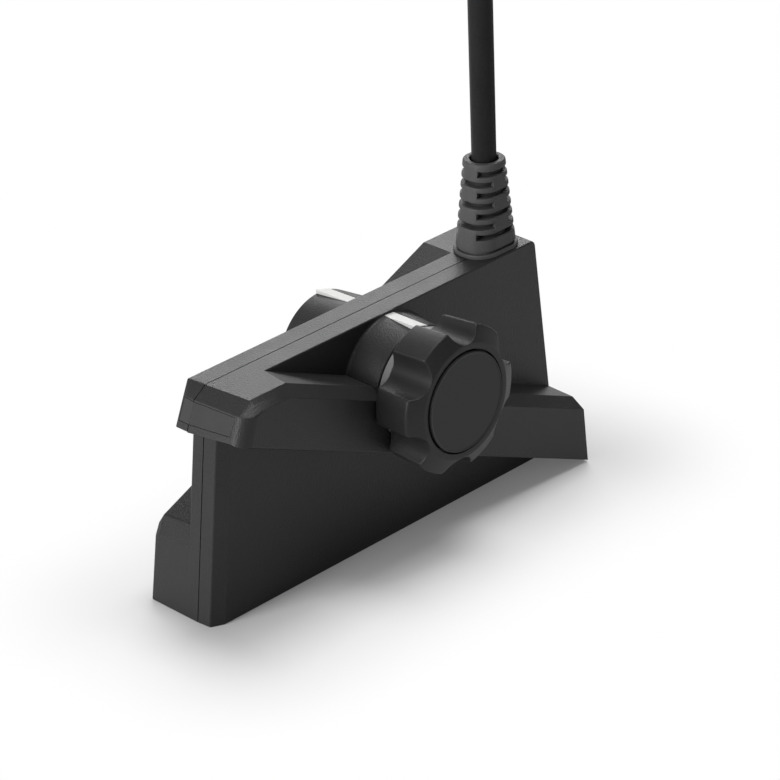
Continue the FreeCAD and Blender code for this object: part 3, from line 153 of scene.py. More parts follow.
def fine_grain():
    """Shader group for a moulded or cast surface: Tone drifts slowly, Height is the fine grain."""
    group = bpy.data.node_groups.new("fine_grain", "ShaderNodeTree")
    for name, way, kind in (
            ("Vector", "INPUT", "Vector"), ("Scale", "INPUT", "Float"), ("Blotch", "INPUT", "Float"),
            ("Tone", "OUTPUT", "Float"), ("Height", "OUTPUT", "Float")):
        group.interface.new_socket(name, in_out=way, socket_type="NodeSocket" + kind)
    given, out = group.nodes.new("NodeGroupInput"), group.nodes.new("NodeGroupOutput")
    grain = shader_node(group, "TexNoise", ("Detail", 2.0))
    blotch = shader_node(group, "TexNoise", ("Detail", 3.0))
    pits = shader_node(group, "TexVoronoi")
    mix = shader_node(group, "Mix", ("Factor", 0.35))
    deepen = shader_node(group, "Math", (1, 0.5), operation="MULTIPLY_ADD")
    wire(group, *((given, "Vector", texture, "Vector") for texture in (grain, blotch, pits)),
         (given, "Scale", grain, "Scale"), (given, "Scale", pits, "Scale"),
         (given, "Blotch", blotch, "Scale"), (grain, "Fac", mix, "A"), (blotch, "Fac", mix, "B"),
         (pits, "Distance", deepen, 0), (grain, "Fac", deepen, 2),
         (mix, "Result", out, "Tone"), (deepen, "Value", out, "Height"))
    return group


surface_grain = fine_grain()


def grained(name, dark, light, roughness, scale=2500.0, depth=0.03, blotch=90.0, metallic=0.0,
            specular=0.5):
    """A material whose colour and roughness follow the grain's tone, with a fine bump."""
    material = bpy.data.materials.new(name)
    material.use_nodes = True
    tree = material.node_tree
    shader = tree.nodes["Principled BSDF"]
    shader.inputs["Metallic"].default_value = metallic
    shader.inputs["Specular IOR Level"].default_value = specular
    place = shader_node(tree, "TexCoord")
    grain = shader_node(tree, "Group", ("Scale", scale), ("Blotch", blotch), node_tree=surface_grain)
    colour = shader_node(tree, "ValToRGB")
    for element, position, tone in zip(colour.color_ramp.elements, (0.35, 0.65), (dark, light)):
        element.position, element.color = position, (*tone, 1.0)
    gloss = shader_node(tree, "MapRange", ("From Min", 0.3), ("From Max", 0.7),
                        ("To Min", roughness[0]), ("To Max", roughness[1]))
    bump = shader_node(tree, "Bump", ("Strength", 1.0), ("Distance", depth * MM))
    wire(tree, (place, "Object", grain, "Vector"), (grain, "Tone", colour, "Fac"),
         (grain, "Tone", gloss, "Value"), (grain, "Height", bump, "Height"),
         (colour, "Color", shader, "Base Color"), (gloss, "Result", shader, "Roughness"),
         (bump, "Normal", shader, "Normal"))
    return material


cable_jacket = grained("cable_jacket", (0.012, 0.012, 0.0125), (0.016, 0.016, 0.017),
                       (0.36, 0.44), 1600.0, 0.015, specular=0.06)
cable_curve.materials.append(cable_jacket)
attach(cable, "housing")
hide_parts("cord_run", "cord_hank", "cord_tail")

# Floor and lamps: a white sweep and four soft boxes, one overhead, one low behind on the right for
# the top faces, one at the left and a small one by the camera. Near the object the floor is lit and
# keeps the shadow, and further off it runs into plain white.
footprint, floor_fade = (0.073, 0.018, 0.0), (-0.012, 0.055)
floor_mesh = bpy.data.meshes.new("floor")
floor_mesh.from_pydata([(-6, -6, 0), (6, -6, 0), (6, 6, 0), (-6, 6, 0)], [], [(0, 1, 2, 3)])
floor = put_in_scene("floor", floor_mesh)
floor_paint = bpy.data.materials.new("floor_paint")
floor_paint.use_nodes = True
tree = floor_paint.node_tree
shader = tree.nodes["Principled BSDF"]
shader.inputs["Base Color"].default_value = (0.52, 0.52, 0.52, 1.0)
shader.inputs["Roughness"].default_value = 0.9
shader.inputs["Specular IOR Level"].default_value = 0.1
white = shader_node(tree, "Emission")
place = shader_node(tree, "TexCoord")
steps = [shader_node(tree, "VectorMath", operation="ABSOLUTE"),
         shader_node(tree, "VectorMath", (1, footprint), operation="SUBTRACT"),
         shader_node(tree, "VectorMath", (1, (0.0, 0.0, 0.0)), operation="MAXIMUM"),
         shader_node(tree, "VectorMath", operation="LENGTH")]
fade = shader_node(tree, "MapRange", ("From Min", floor_fade[0]), ("From Max", floor_fade[1]),
                   interpolation_type="SMOOTHSTEP")
path = shader_node(tree, "LightPath")
seen, seen_too = (shader_node(tree, "Math", operation="MAXIMUM") for _ in range(2))
both = shader_node(tree, "Math", operation="MULTIPLY")
blend = shader_node(tree, "MixShader")
wire(tree, (place, "Object", steps[0], 0),
     *((before, "Vector", after, 0) for before, after in zip(steps, steps[1:])),
     (steps[-1], "Value", fade, "Value"), (path, "Is Camera Ray", seen, 0),
     (path, "Is Glossy Ray", seen, 1), (seen, "Value", seen_too, 0),
     (path, "Is Transmission Ray", seen_too, 1), (fade, "Result", both, 0),
     (seen_too, "Value", both, 1), (both, "Value", blend, "Fac"), (shader, "BSDF", blend, 1),
     (white, "Emission", blend, 2), (blend, "Shader", tree.nodes["Material Output"], "Surface"))
floor_mesh.materials.append(floor_paint)

# The room: the camera sees plain white. The pieces are lit by a mid tone up to about twenty degrees,
# a dark ceiling from about forty, brighter again overhead, and less of everything on the right.
room = bpy.data.worlds.new("room")
bpy.context.scene.world = room
room.use_nodes = True
tree = room.node_tree
sky = tree.nodes["Background"]
direction = shader_node(tree, "TexCoord")
parts = shader_node(tree, "SeparateXYZ")
height = shader_node(tree, "ValToRGB")
for position, tone in ((0.0, 0.5), (0.36, 0.5), (0.62, 0.125), (0.86, 0.15), (1.0, 0.45)):
    element = height.color_ramp.elements.new(position)
    element.color = (tone, tone, tone, 1.0)
height.color_ramp.elements.remove(height.color_ramp.elements[0])
height.color_ramp.elements.remove(height.color_ramp.elements[-1])
path = shader_node(tree, "LightPath")
to_right = shader_node(tree, "VectorMath", (1, (0.8, -0.6, 0.0)), operation="DOT_PRODUCT")
dimmer = shader_node(tree, "MapRange", ("From Min", -0.2), ("From Max", 0.8),
                     ("To Min", 1.0), ("To Max", 0.4))
shaded = shader_node(tree, "VectorMath", operation="SCALE")
plain = shader_node(tree, "Mix", ("B", (1.0, 1.0, 1.0, 1.0)), data_type="RGBA")
wire(tree, (direction, "Generated", parts, "Vector"), (parts, "Z", height, "Fac"),
     (direction, "Generated", to_right, 0), (to_right, "Value", dimmer, "Value"),
     (height, "Color", shaded, 0), (dimmer, "Result", shaded, "Scale"), (shaded, "Vector", plain, "A"),
     (path, "Is Camera Ray", plain, "Factor"), (plain, "Result", sky, "Color"))


def soft_box(name, place, aim, size, power):
    """A rectangular lamp that faces a point: width and height in metres, power in watts."""
    lamp = bpy.data.lights.new(name, "AREA")
    lamp.shape = "RECTANGLE"
    lamp.size, lamp.size_y = size
    lamp.energy = power
    facing = (Vector(place) - Vector(aim)).to_track_quat("Z", "Y")
    put_in_scene(name, lamp).matrix_world = Matrix.Translation(place) @ facing.to_matrix().to_4x4()


soft_box("overhead", (0.3, 0.0, 1.55), (0.0, 0.0, 0.04), (0.9, 0.5), 19.0)
soft_box("behind_right", (1.29, 1.24, 0.93), (0.0, 0.0, 0.06), (1.1, 0.7), 18.0)
soft_box("left", (-1.3, 0.2, 0.42), (0.0, 0.0, 0.05), (0.6, 0.5), 20.0)
soft_box("beside_camera", (-0.9, -0.7, 0.95), (0.0, 0.0, 0.05), (0.25, 0.25), 0.7)

# Near housing half: a black glass-filled nylon moulding with half of the slab, the slanting near
# wing, its front flange and the near drum. The halves are glued along the seam in the slab's middle.
slab_end, slab_height, slab_half = 73.5, 72.4, 6.7
end_lean, end_sweep = 0.1119, 0.05
corner_start, corner_cut = 4.6, 4.1
seam_gap, seam_overlap = 0.15, 0.6
hub_x, hub_z = 0.8, 53.2
near_face, far_face = 18.1, 20.7
drum_root, drum_rim, root_flare, rim_round = 19.2, 17.35, 0.8, 0.6
sleeve_radius, bolt_hole_radius, gland_radius = 6.05, 4.3, 5.25
toe_x, toe_z, toe_rise = -73.4, 60.6, 0.08
bevel_x, bevel_z, bevel_run = -70.0, 69.4, 3.4
flange_top, lip_drop = -65.5, 1.3
edge_start, edge_reach, edge_corner, edge_drop = 16.4, 4.0, 4.4, 2.5
bay_thickness, bay_skin = 11.1, 2.4
near_bay_x, near_bay_length, near_bay_depth = -58.0, 126.0, 17.8
near_seat, far_seat, seat_spare = 15.72, 5.72, 0.013
index_left, index_foot, index_low_top = -0.3, 68.5, 71.7


def around(count):
    """Evenly spaced directions round an axis."""
    return np.arange(count) * 2 * np.pi / count


def end_at(height, depth):
    """The slab's end at a height and a distance from the seam: it leans and sweeps in."""
    return slab_end - end_lean * height - end_sweep * depth


def surface(name, points, along=False, caps=True):
    """A mesh of quads on a grid of points in millimetres: rows, columns and xyz, with the copies of a
    repeated shape before them. Every row is a closed ring; along joins the last row to the first, and
    caps closes the end rows flat."""
    number = np.arange(points[..., 0].size).reshape((-1,) + points.shape[-3:-1])
    here = number if along else number[:, :-1]
    above = np.roll(number, -1, 1) if along else number[:, 1:]
    faces = np.stack((here, np.roll(here, -1, 2), np.roll(above, -1, 2), above), -1)
    faces = faces.reshape(-1, 4).tolist()
    if caps and not along:
        faces += number[:, 0].tolist() + number[:, -1].tolist()
    mesh = bpy.data.meshes.new(name)
    mesh.from_pydata(points.reshape(-1, 3) * MM, [], faces)
    solid = bmesh.new()
    solid.from_mesh(mesh)
    bmesh.ops.recalc_face_normals(solid, faces=solid.faces)
    solid.to_mesh(mesh)
    solid.free()
    return put_in_scene(name, mesh)


def unit(line):
    """Directions of unit length."""
    return line / np.linalg.norm(line, axis=-1, keepdims=True)


def rounded(before, corner, after, radius, count):
    """Points of the arc that rounds a corner: rows of (x, z) for arrays of the three points."""
    back, onward = unit(before - corner), unit(after - corner)
    half = np.arccos(np.clip((back * onward).sum(-1), -1, 1)) / 2
    centre = corner + unit(back + onward) * (radius / np.sin(half))[:, None]
    first = corner + back * (radius / np.tan(half))[:, None] - centre
    sweep = np.pi - 2 * half
    turn = np.sign(np.cross(first, onward))
    angle = np.linspace(0, 1, count)[:, None] * (turn * sweep)[None]
    x = centre[:, 0] + first[:, 0] * np.cos(angle) - first[:, 1] * np.sin(angle)
    z = centre[:, 1] + first[:, 0] * np.sin(angle) + first[:, 1] * np.cos(angle)
    return points_of(x, z).transpose(1, 0, 2)


def bar(name, depths, outlines, side):
    """A closed bar across the seam: one XZ outline (x, z) for each distance from the seam."""
    y, outlines = side * np.array(depths, float)[:, None], np.array(outlines, float)
    return surface(name, points_of(outlines[..., 0], y, outlines[..., 1]))


def soften(piece, width, segments=5, limit=28.0):
    """A live bevel on the sharper edges."""
    edge = piece.modifiers.new("edge_round", "BEVEL")
    edge.width = width * MM
    edge.segments = segments
    edge.limit_method = "ANGLE"
    edge.angle_limit = math.radians(limit)
    return piece


def settle(piece):
    """Applies a piece's modifiers and welds points that a cut leaves on top of each other."""
    weld_reach = 0.006 * MM
    finished = bpy.data.meshes.new_from_object(
        piece.evaluated_get(bpy.context.evaluated_depsgraph_get()))
    solid = bmesh.new()
    solid.from_mesh(finished)
    bmesh.ops.remove_doubles(solid, verts=solid.verts, dist=weld_reach)
    bmesh.ops.dissolve_degenerate(solid, edges=solid.edges, dist=weld_reach)
    solid.to_mesh(finished)
    solid.free()
    piece.modifiers.clear()
    rough = piece.data
    piece.data = finished
    bpy.data.meshes.remove(rough)
    return piece


def joined(piece, tool, operation="DIFFERENCE"):
    """Cuts or adds a second closed shape with an exact boolean, then removes that shape."""
    step = piece.modifiers.new("step", "BOOLEAN")
    step.object = tool
    step.operation = operation
    step.solver = "EXACT"
    settle(piece)
    bpy.data.objects.remove(tool)
    return piece


def dressed(piece, material, body, sharp=20.0):
    """Smooth shading with sharp edges kept, weighted normals, material and body."""
    piece.data.shade_smooth()
    piece.data.set_sharp_from_angle(angle=math.radians(sharp))
    weights = piece.modifiers.new("normals", "WEIGHTED_NORMAL")
    weights.keep_sharp = True
    weights.weight = 60
    piece.data.materials.clear()
    piece.data.materials.append(material)
    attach(piece, body)
    return piece


def slab(side):
    """Half of the slab: three outlines, the outer one shorter in front, where the corner is off. On
    the far side they carry the front flange's lip."""
    depths = np.array([-seam_overlap, corner_start, slab_half])
    taken = np.array([0.0, 0.0, corner_cut])
    foot = points_of(-end_at(0, depths) + taken, 0.0)
    heel = points_of(end_at(0, depths), 0.0)
    back = points_of(end_at(slab_height, depths), slab_height)
    front = [points_of(-end_at(slab_height, depths) + taken, slab_height)]
    if side > 0:
        share = depths / slab_half
        front = [points_of(flange_top - 0.5 * share, slab_height),
                 np.stack([face_line(depth, True, 1.0) for depth in depths]),
                 np.stack([face_line(depth, True, 0.0) for depth in depths]),
                 points_of(-end_at(59.9, depths) + taken, 60.1 - lip_drop * share)]
    outlines = np.concatenate((foot[:, None], heel[:, None], rounded(heel, back, front[0], 2.0, 6),
                               np.stack(front, 1)), 1)
    return soften(bar("slab", depths, outlines, side), 0.45)


def face_line(depth, far_side, share):
    """A point on the flange's leaning front face, share of the way from its toe to its bevel."""
    toe = np.array([toe_x + end_sweep * depth, toe_z + toe_rise * depth])
    bevel = np.array([bevel_x + end_sweep * depth - bevel_run * toe_rise * depth / 9, bevel_z])
    if far_side:
        toe = np.array([toe_x + 1.9 * depth / slab_half, toe_z - lip_drop * depth / slab_half])
        bevel = np.array([bevel_x + 2.3 * depth / slab_half, bevel_z - 1.1 * depth / slab_half])
    return toe + (bevel - toe) * share


quarter = np.linspace(0, np.pi / 2, 6)


def hub_ring(side, face):
    """The hub drum: a straight taper with a hollow flare at its root and a rounded rim."""
    flare = points_of(slab_half + root_flare * (1 - np.cos(quarter)),
                      drum_root - root_flare * np.sin(quarter))
    rim = points_of(face - rim_round * (1 - np.sin(quarter)),
                    drum_rim - rim_round * (1 - np.cos(quarter)))
    profile = np.concatenate(([(4.9, 0.2), (4.9, drum_root)], flare, rim, [(face, 0.2)]))
    return turned("drum", profile, 144, side)


def turned(name, profile, columns, side=-1, caps=True, along=False):
    """A surface turned about the hub: profile rows are (distance from the seam, radius)."""
    depth, radius, angle = profile[:, :1], profile[:, 1:2], around(columns)
    points = points_of(hub_x + radius * np.cos(angle), side * depth, hub_z + radius * np.sin(angle))
    return surface(name, points, caps=caps, along=along)


def round_bar(name, radius, start, end, side=-1, columns=96):
    """A round cutter along the hub between two distances from the seam."""
    return turned(name, np.array([(start, radius), (end, radius)], float), columns, side)


def near_wing():
    """The near wing: one outline per depth. Its outer corner is a quarter ellipse."""
    step = np.concatenate(([0.0], np.linspace(0, np.pi / 2, 7)))
    depth = edge_start + edge_reach * np.sin(step)
    depth[0] = -seam_overlap
    corner, drop = edge_corner * (1 - np.cos(step)), edge_drop * np.sin(step)
    toe = points_of(toe_x + end_sweep * depth + corner, toe_z + toe_rise * depth - 0.6 * drop)
    bevel = points_of(bevel_x + end_sweep * depth + corner - bevel_run * toe_rise * depth / 9,
                      bevel_z - 0.1 * drop)
    top = points_of(flange_top + end_sweep * depth + 0.3 * corner, slab_height - drop)
    notch = points_of(-47.9 - 0.165 * depth - 0.6 * drop, slab_height - drop)
    block = points_of(end_at(22.0, depth) + 0.3 * drop, 22.0 - 0.02 * depth - 1.3 * drop)
    heel = points_of(end_at(0, depth), 0.5 * np.sin(step))
    return soften(bar("wing", depth, np.stack((toe, bevel, top, notch, block, heel), 1), -1), 0.4)


def hollow_out(half, side, toe, reach, start, length, depth):
    """Hollows a half from the seam: a cavity round the hub's boss, then a bay for the wing's array."""
    low, high = end_at(2.2, 0) - 3.0, end_at(69.8, 0) - 3.0
    corners = [(-low, 2.2), (low, 2.2), (high, 69.8), (-high, 69.8)]
    cavity = bar("cavity", [-2.0, 4.4], [corners, corners], side)
    joined(half, joined(cavity, round_bar("boss", 9.5, -3.0, 6.0, side)))
    angle, lift = -side * math.atan(toe / reach), toe * (slab_end + side * start) / reach + bay_skin
    run = np.array([(0, 0), (length, 0), (length, bay_thickness), (0, bay_thickness)], float)
    x = start + run[:, 0] * math.cos(angle) + run[:, 1] * math.sin(angle)
    z = lift - run[:, 0] * math.sin(angle) + run[:, 1] * math.cos(angle)
    joined(half, bar("bay", [-2.0, depth], [points_of(x, z)] * 2, side))


def gland_bar():
    """The upright round cutter for the cable gland's hole."""
    x, y = exit_x + gland_radius * np.cos(around(64)), exit_y + gland_radius * np.sin(around(64))
    return surface("gland_hole", points_of(x, y, np.array([[60.0], [74.0]])))


def seam_cut(half, side):
    """Ends a half just short of the seam, so that a hairline shows between the halves."""
    box = [(-120, -20), (120, -20), (120, 120), (-120, 120)]
    return joined(half, bar("seam", [-60.0, seam_gap], [box, box], side))


def index_outline(face, depth, top=None):
    """The index line's outline at a distance from the seam: it widens towards the rim."""
    share = (depth - slab_half) / (face - slab_half)
    right = 3.5 + 2.0 * share
    reach = 18.4 - 1.05 * share
    ceiling = hub_z + math.sqrt(reach ** 2 - (right - hub_x) ** 2)
    return np.array([(index_left, index_foot), (right, index_foot), (right, top or ceiling),
                     (index_left, top or index_low_top)])


def index_slot(half, face, side):
    """The slot in the drum's top for the white index line."""
    depths, spare = [slab_half, face + 1.0], ((-0.06, 0.0), (0.06, 0.0), (0.06, 0.0), (-0.06, 0.0))
    outlines = [index_outline(face, depth, 78.0) + spare for depth in depths]
    return joined(half, bar("slot", depths, outlines, side))


def inlay_outline(depth, far_side, front, spare=0.0):
    """The inlay's outline on the leaning face, eight tenths of a millimetre deep."""
    low = face_line(depth, far_side, 0.24 - spare)
    high = face_line(depth, far_side, 0.93 + spare)
    return np.array([low - (front, 0), high - (front, 0), high + (0.8 + spare, 0), low + (0.8 + spare, 0)])


def last_cuts(half, side, face, seat):
    """What both halves get last: the index slot, the inlay's seat, the gland's hole and the seam."""
    index_slot(half, face, side)
    joined(half, bar("inlay_seat", [-1.0, seat], [
        inlay_outline(depth, side > 0, 1.0, seat_spare) for depth in (-1.0, seat)], side))
    joined(half, gland_bar())
    seam_cut(half, side)
    return dressed(half, moulded_black, "housing")


moulded_black = grained("moulded_black", (0.012, 0.012, 0.0126), (0.017, 0.017, 0.0179),
                        (0.40, 0.50), 2300.0, 0.09, 60.0, specular=0.26)
near_half = joined(joined(slab(-1), near_wing(), "UNION"), hub_ring(-1, near_face), "UNION")
near_half.name = "near_shell"
hollow_out(near_half, -1, toe_z, slab_end - toe_x, near_bay_x, near_bay_length, near_bay_depth)
joined(near_half, round_bar("sleeve_bore", sleeve_radius, -1.0, 16.0))
joined(near_half, round_bar("bolt_hole", bolt_hole_radius, 15.0, 22.5))
joined(near_half, round_bar("face_recess", 17.65, near_face, 22.0, columns=144))
last_cuts(near_half, -1, near_face, near_seat)
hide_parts("housing_near")

# Far housing half: the other moulding, of the same nylon. Its wing slants the other way, with a block
# at its front foot and a flush flange at the back, and a lip of its slab carries on the front flange.
block_x, block_z, notch_x, back_toe_z = 66.5, 26.7, 42.4, 59.3
shoulder, wing_face = 18.0, 19.8
far_bay_x, far_bay_length, far_bay_depth = -58.5, 122.0, 17.0


def far_wing():
    """The far wing: outlines at the seam, its shoulder and its face, with a long bevel between."""
    depth = np.array([-seam_overlap, shoulder, wing_face])
    corner = np.array([0.0, 1.0, 1.6])
    drop = np.array([0.0, 0.0, 2.9])
    rise = (slab_height - block_z) / (notch_x + block_x)
    foot = points_of(-end_at(0, depth), 0.0)
    side = points_of(-end_at(21.2 - 0.5 * drop, depth) + 0.4 * corner, 21.2 - 0.5 * drop)
    block = points_of(-block_x - corner, block_z - drop - rise * corner)
    notch = points_of(notch_x + 0.7 * corner, slab_height - drop)
    back = points_of(end_at(slab_height - drop, depth) - 0.3 * drop, slab_height - drop)
    toe = points_of(end_at(back_toe_z, depth), back_toe_z)
    outlines = np.concatenate((foot[:, None], side[:, None], block[:, None], notch[:, None],
                               rounded(notch, back, toe, 2.0, 6), toe[:, None]), 1)
    return soften(bar("wing", depth, outlines, 1), 0.4)


far_half = joined(joined(slab(1), far_wing(), "UNION"), hub_ring(1, far_face), "UNION")
far_half.name = "far_shell"
hollow_out(far_half, 1, back_toe_z, slab_end + end_at(back_toe_z, 0), far_bay_x, far_bay_length,
           far_bay_depth)
joined(far_half, round_bar("sleeve_bore", sleeve_radius, -1.0, 14.0, 1))
joined(far_half, round_bar("ring_pocket", 7.6, 13.5, 21.7, 1))
last_cuts(far_half, 1, far_face, far_seat)
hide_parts("housing_far")

# Front inlay: a thin plate of smoother black plastic, moulded on its own. It is pressed into a seat
# in the flange's leaning face, across the seam.
inlay_near, inlay_far = 15.6, 5.6
inlay = bar("inlay_plate", [-inlay_far, 0.0, inlay_near], [
    inlay_outline(inlay_far, True, 0.0), inlay_outline(0.0, False, 0.0),
    inlay_outline(inlay_near, False, 0.0)], -1)
settle(soften(inlay, 0.12, 2, 20.0))
inlay_black = grained(
    "inlay_black", (0.014, 0.014, 0.0147), (0.02, 0.02, 0.021), (0.38, 0.46), 2600.0, 0.02, specular=0.28)
dressed(inlay, inlay_black, "housing")
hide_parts("front_inlay")

# Index lines: two strips of white plastic that show where the transducer is aimed. Each is pressed
# into a slot in the top of its drum, flush with it.
index_white = grained("index_white", (0.44, 0.44, 0.432), (0.51, 0.51, 0.50), (0.35, 0.45), 2200.0, 0.012)
for name, face, side in (("near", near_face, -1), ("far", far_face, 1)):
    strip = bar("index_" + name, [slab_half, face],
                [index_outline(face, slab_half), index_outline(face, face)], side)
    settle(soften(strip, 0.15, 2, 20.0))
    dressed(strip, index_white, "housing")
    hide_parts("index_line_" + name)

# Strain relief boot: a dark grey rubbery sleeve moulded over the cable, with a flange on the
# housing's top, a necked joint above it and seven rows of flexing slots, each row turned a quarter.
# The slots' floors get a near-black material: painted shade for the depth of the slots.
boot_foot, boot_neck, boot_top = 72.4, 74.6, 101.1
boot_sizes = ((9.4, 5.95), (7.0, 5.95), (6.3, 5.2))
inner_foot, inner_top = 6.3, 4.75
slot_rows, slot_pitch, slot_half_height, slot_first = 7, 3.2, 0.85, 78.9
slot_half_angle, slot_blend = 66.0, 0.35
slot_ends = (np.array([0, 90, 180, 270])[:, None] + np.array([-1, 1]) * slot_half_angle).ravel() % 360


def boot_outline(angle, half_x, half_y, corner):
    """Distance from the axis to a rectangle with round corners, in each direction."""
    cos, sin = np.abs(np.cos(angle)), np.abs(np.sin(angle))
    flat_x, flat_y = half_x - corner, half_y - corner
    along_corner = flat_x * cos + flat_y * sin
    in_corner = along_corner + np.sqrt(np.maximum(
        along_corner ** 2 - flat_x ** 2 - flat_y ** 2 + corner ** 2, 0))
    to_side, to_front = half_x / np.maximum(cos, 1e-9), half_y / np.maximum(sin, 1e-9)
    reach = np.where(to_side * sin <= flat_y, to_side, in_corner)
    return np.where(to_front * cos <= flat_x, to_front, reach)


def boot_wall(height, shrink=0.0):
    """A line of the tapering sleeve above the neck: height, half sizes and corner."""
    share = (height - boot_neck) / (boot_top - boot_neck)
    return (height, *(low + (high - low) * share - shrink for low, high in boot_sizes))


def boot_rows():
    """The boot's lines from its foot up its outside and down its bore: height, half sizes, corner, and
    in a slot its row number and how far the line has sunk towards the slot's floor."""
    rows = [(72.4, 9.75, 7.25, 6.35), (72.47, 9.93, 7.43, 6.53), (72.65, 10.0, 7.5, 6.6),
            (73.35, 10.0, 7.5, 6.6), (73.6, 9.9, 7.4, 6.5), (73.7, 9.65, 7.15, 6.25),
            (73.72, 8.75, 6.25, 5.35), (74.5, 8.75, 6.25, 5.35), (74.52, 9.1, 6.7, 6.0),
            (74.62, 9.35, 6.95, 6.25), (74.85, 9.36, 6.97, 6.28)]
    rows = [row + (-1, 0.0) for row in rows]
    lip = ((0.45, 0.0), (0.22, 0.03), (0.06, 0.12), (0.0, 0.28))
    for k in range(slot_rows):
        low = slot_first + slot_pitch * k - slot_half_height
        high = low + 2 * slot_half_height
        lines = [(low - away, -shrink) for away, shrink in lip]
        lines += [(low + 0.02, 1.0), (low + 0.5, 1.0), (high - 0.02, 1.0)]
        lines += [(high + away, -shrink) for away, shrink in lip[::-1]]
        rows += [boot_wall(height) + (k, sunk) for height, sunk in lines]
    rows += [boot_wall(height, shrink) + (-1, 0.0) for height, shrink in
             ((100.6, 0.0), (100.88, 0.08), (101.05, 0.25), (boot_top, 0.5))]
    rows += [(height, radius, radius, radius, -1, 0.0) for height, radius in
             ((boot_top, 4.55), (101.0, 4.35), (100.8, 4.25), (98.3, 4.25), (98.1, 4.05), (98.1, 3.83),
              (90.0, 3.83), (80.0, 3.83), (73.1, 3.83), (73.05, gland_radius), (boot_foot, gland_radius))]
    return np.array(rows)


def boot_surface():
    """Radius over direction and height: the outline, sunk to a cone inside a slot's two sectors."""
    even = np.arange(0, 360, 1.8)
    angle = np.radians(np.sort(np.concatenate((even, slot_ends - slot_blend, slot_ends + slot_blend))))
    rows = boot_rows()
    height, half_x, half_y, corner, number, sunk = (rows[:, k:k + 1] for k in range(6))
    outline = boot_outline(angle[None], half_x, half_y, corner)
    facing = np.where(number % 2 == 0, 90.0, 0.0)
    off = np.abs((np.degrees(angle)[None] - facing + 90.0) % 180.0 - 90.0)
    inside = np.clip((slot_half_angle + slot_blend - off) / (2 * slot_blend), 0, 1) * (number >= 0)
    cone = inner_foot + (inner_top - inner_foot) * (height - boot_foot) / (boot_top - boot_foot)
    slotted = np.where(sunk > 0.5, cone, outline + np.minimum(sunk, 0.0))
    radius = outline + (slotted - outline) * inside
    points = points_of(exit_x + radius * np.cos(angle), exit_y + radius * np.sin(angle), height)
    piece = surface("boot", points, along=True)
    # Faces of the slot floors, which get the painted shade.
    floor_columns = (inside + np.roll(inside, -1, 1)) > 1.9
    floor_rows = (sunk > 0.5) & (np.roll(sunk, -1, 0) > 0.5)
    return piece, (floor_columns & floor_rows).astype(np.int32).ravel()


boot_grey = grained(
    "boot_grey", (0.05, 0.05, 0.0506), (0.067, 0.067, 0.0677), (0.46, 0.56), 2400.0, 0.03, specular=0.15)
# Painted shade: a near-black material for the slot floors, standing in for the shadow deep in the slots.
slot_floor_shade = grained(
    "slot_floor_shade", (0.012, 0.012, 0.012), (0.018, 0.018, 0.018), (0.6, 0.7), 1600.0, 0.02, specular=0.2)
boot, shaded_slot_floors = boot_surface()
dressed(boot, boot_grey, "housing")
# The slot floors take the painted shade.
boot.data.materials.append(slot_floor_shade)
boot.data.polygons.foreach_set("material_index", shaded_slot_floors)
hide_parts("strain_relief_boot")

# Clamp knob: a black nylon grip with six scallops, a narrow flat ring round its cap, a pocket for
# the bolt's head and six hollows in its back that keep the moulding's walls even.
scallop_circle, scallop_radius, grip_corner, scallop_angle = 23.5, 6.1, 0.9, 25.0
sector_columns = (7, 5, 5)
knob_back, hollow_floor = 21.4, 29.4


def grip_outline(radius):
    """Six lobes at a radius, joined to the scallops by small round corners: rows and columns of x and
    z about the hub. A sector runs from a scallop's middle round a corner to a lobe's middle and back."""
    reach = radius[:, None] - grip_corner
    turn = np.arccos(np.clip((reach ** 2 + scallop_circle ** 2 - (scallop_radius + grip_corner) ** 2)
                             / (2 * reach * scallop_circle), -1, 1))
    corner_u, corner_v = reach * np.cos(turn), reach * np.sin(turn)
    meet = np.arctan2(corner_v, corner_u - scallop_circle)
    halves = []
    for back in (False, True):
        shares = [1 - np.arange(n) / n if back else np.arange(n) / n for n in sector_columns]
        scallop = np.pi + (meet - np.pi) * shares[0]
        corner = meet - np.pi + (turn - meet + np.pi) * shares[1]
        lobe = turn + (np.pi / 6 - turn) * shares[2]
        u = [scallop_circle + scallop_radius * np.cos(scallop), corner_u + grip_corner * np.cos(corner),
             radius[:, None] * np.cos(lobe)]
        v = [scallop_radius * np.sin(scallop), corner_v + grip_corner * np.sin(corner),
             radius[:, None] * np.sin(lobe)]
        if back:
            u, v = u[::-1], v[::-1]
        u, v = np.concatenate(u, 1), np.concatenate(v, 1)
        if back:
            cos, sin = math.cos(math.pi / 3), math.sin(math.pi / 3)
            u, v = u * cos + v * sin, u * sin - v * cos
        halves.append((u, v))
    return sector_ring(*(np.concatenate(pair, 1) for pair in zip(*halves)))


def sector_ring(u, v):
    """Six copies of one sector's columns, sixty degrees apart from the first scallop on."""
    turns = np.radians(scallop_angle + 60.0 * np.arange(6))[None, :, None]
    x = u[:, None] * np.cos(turns) - v[:, None] * np.sin(turns)
    z = u[:, None] * np.sin(turns) + v[:, None] * np.cos(turns)
    return x.reshape(len(u), -1), z.reshape(len(u), -1)


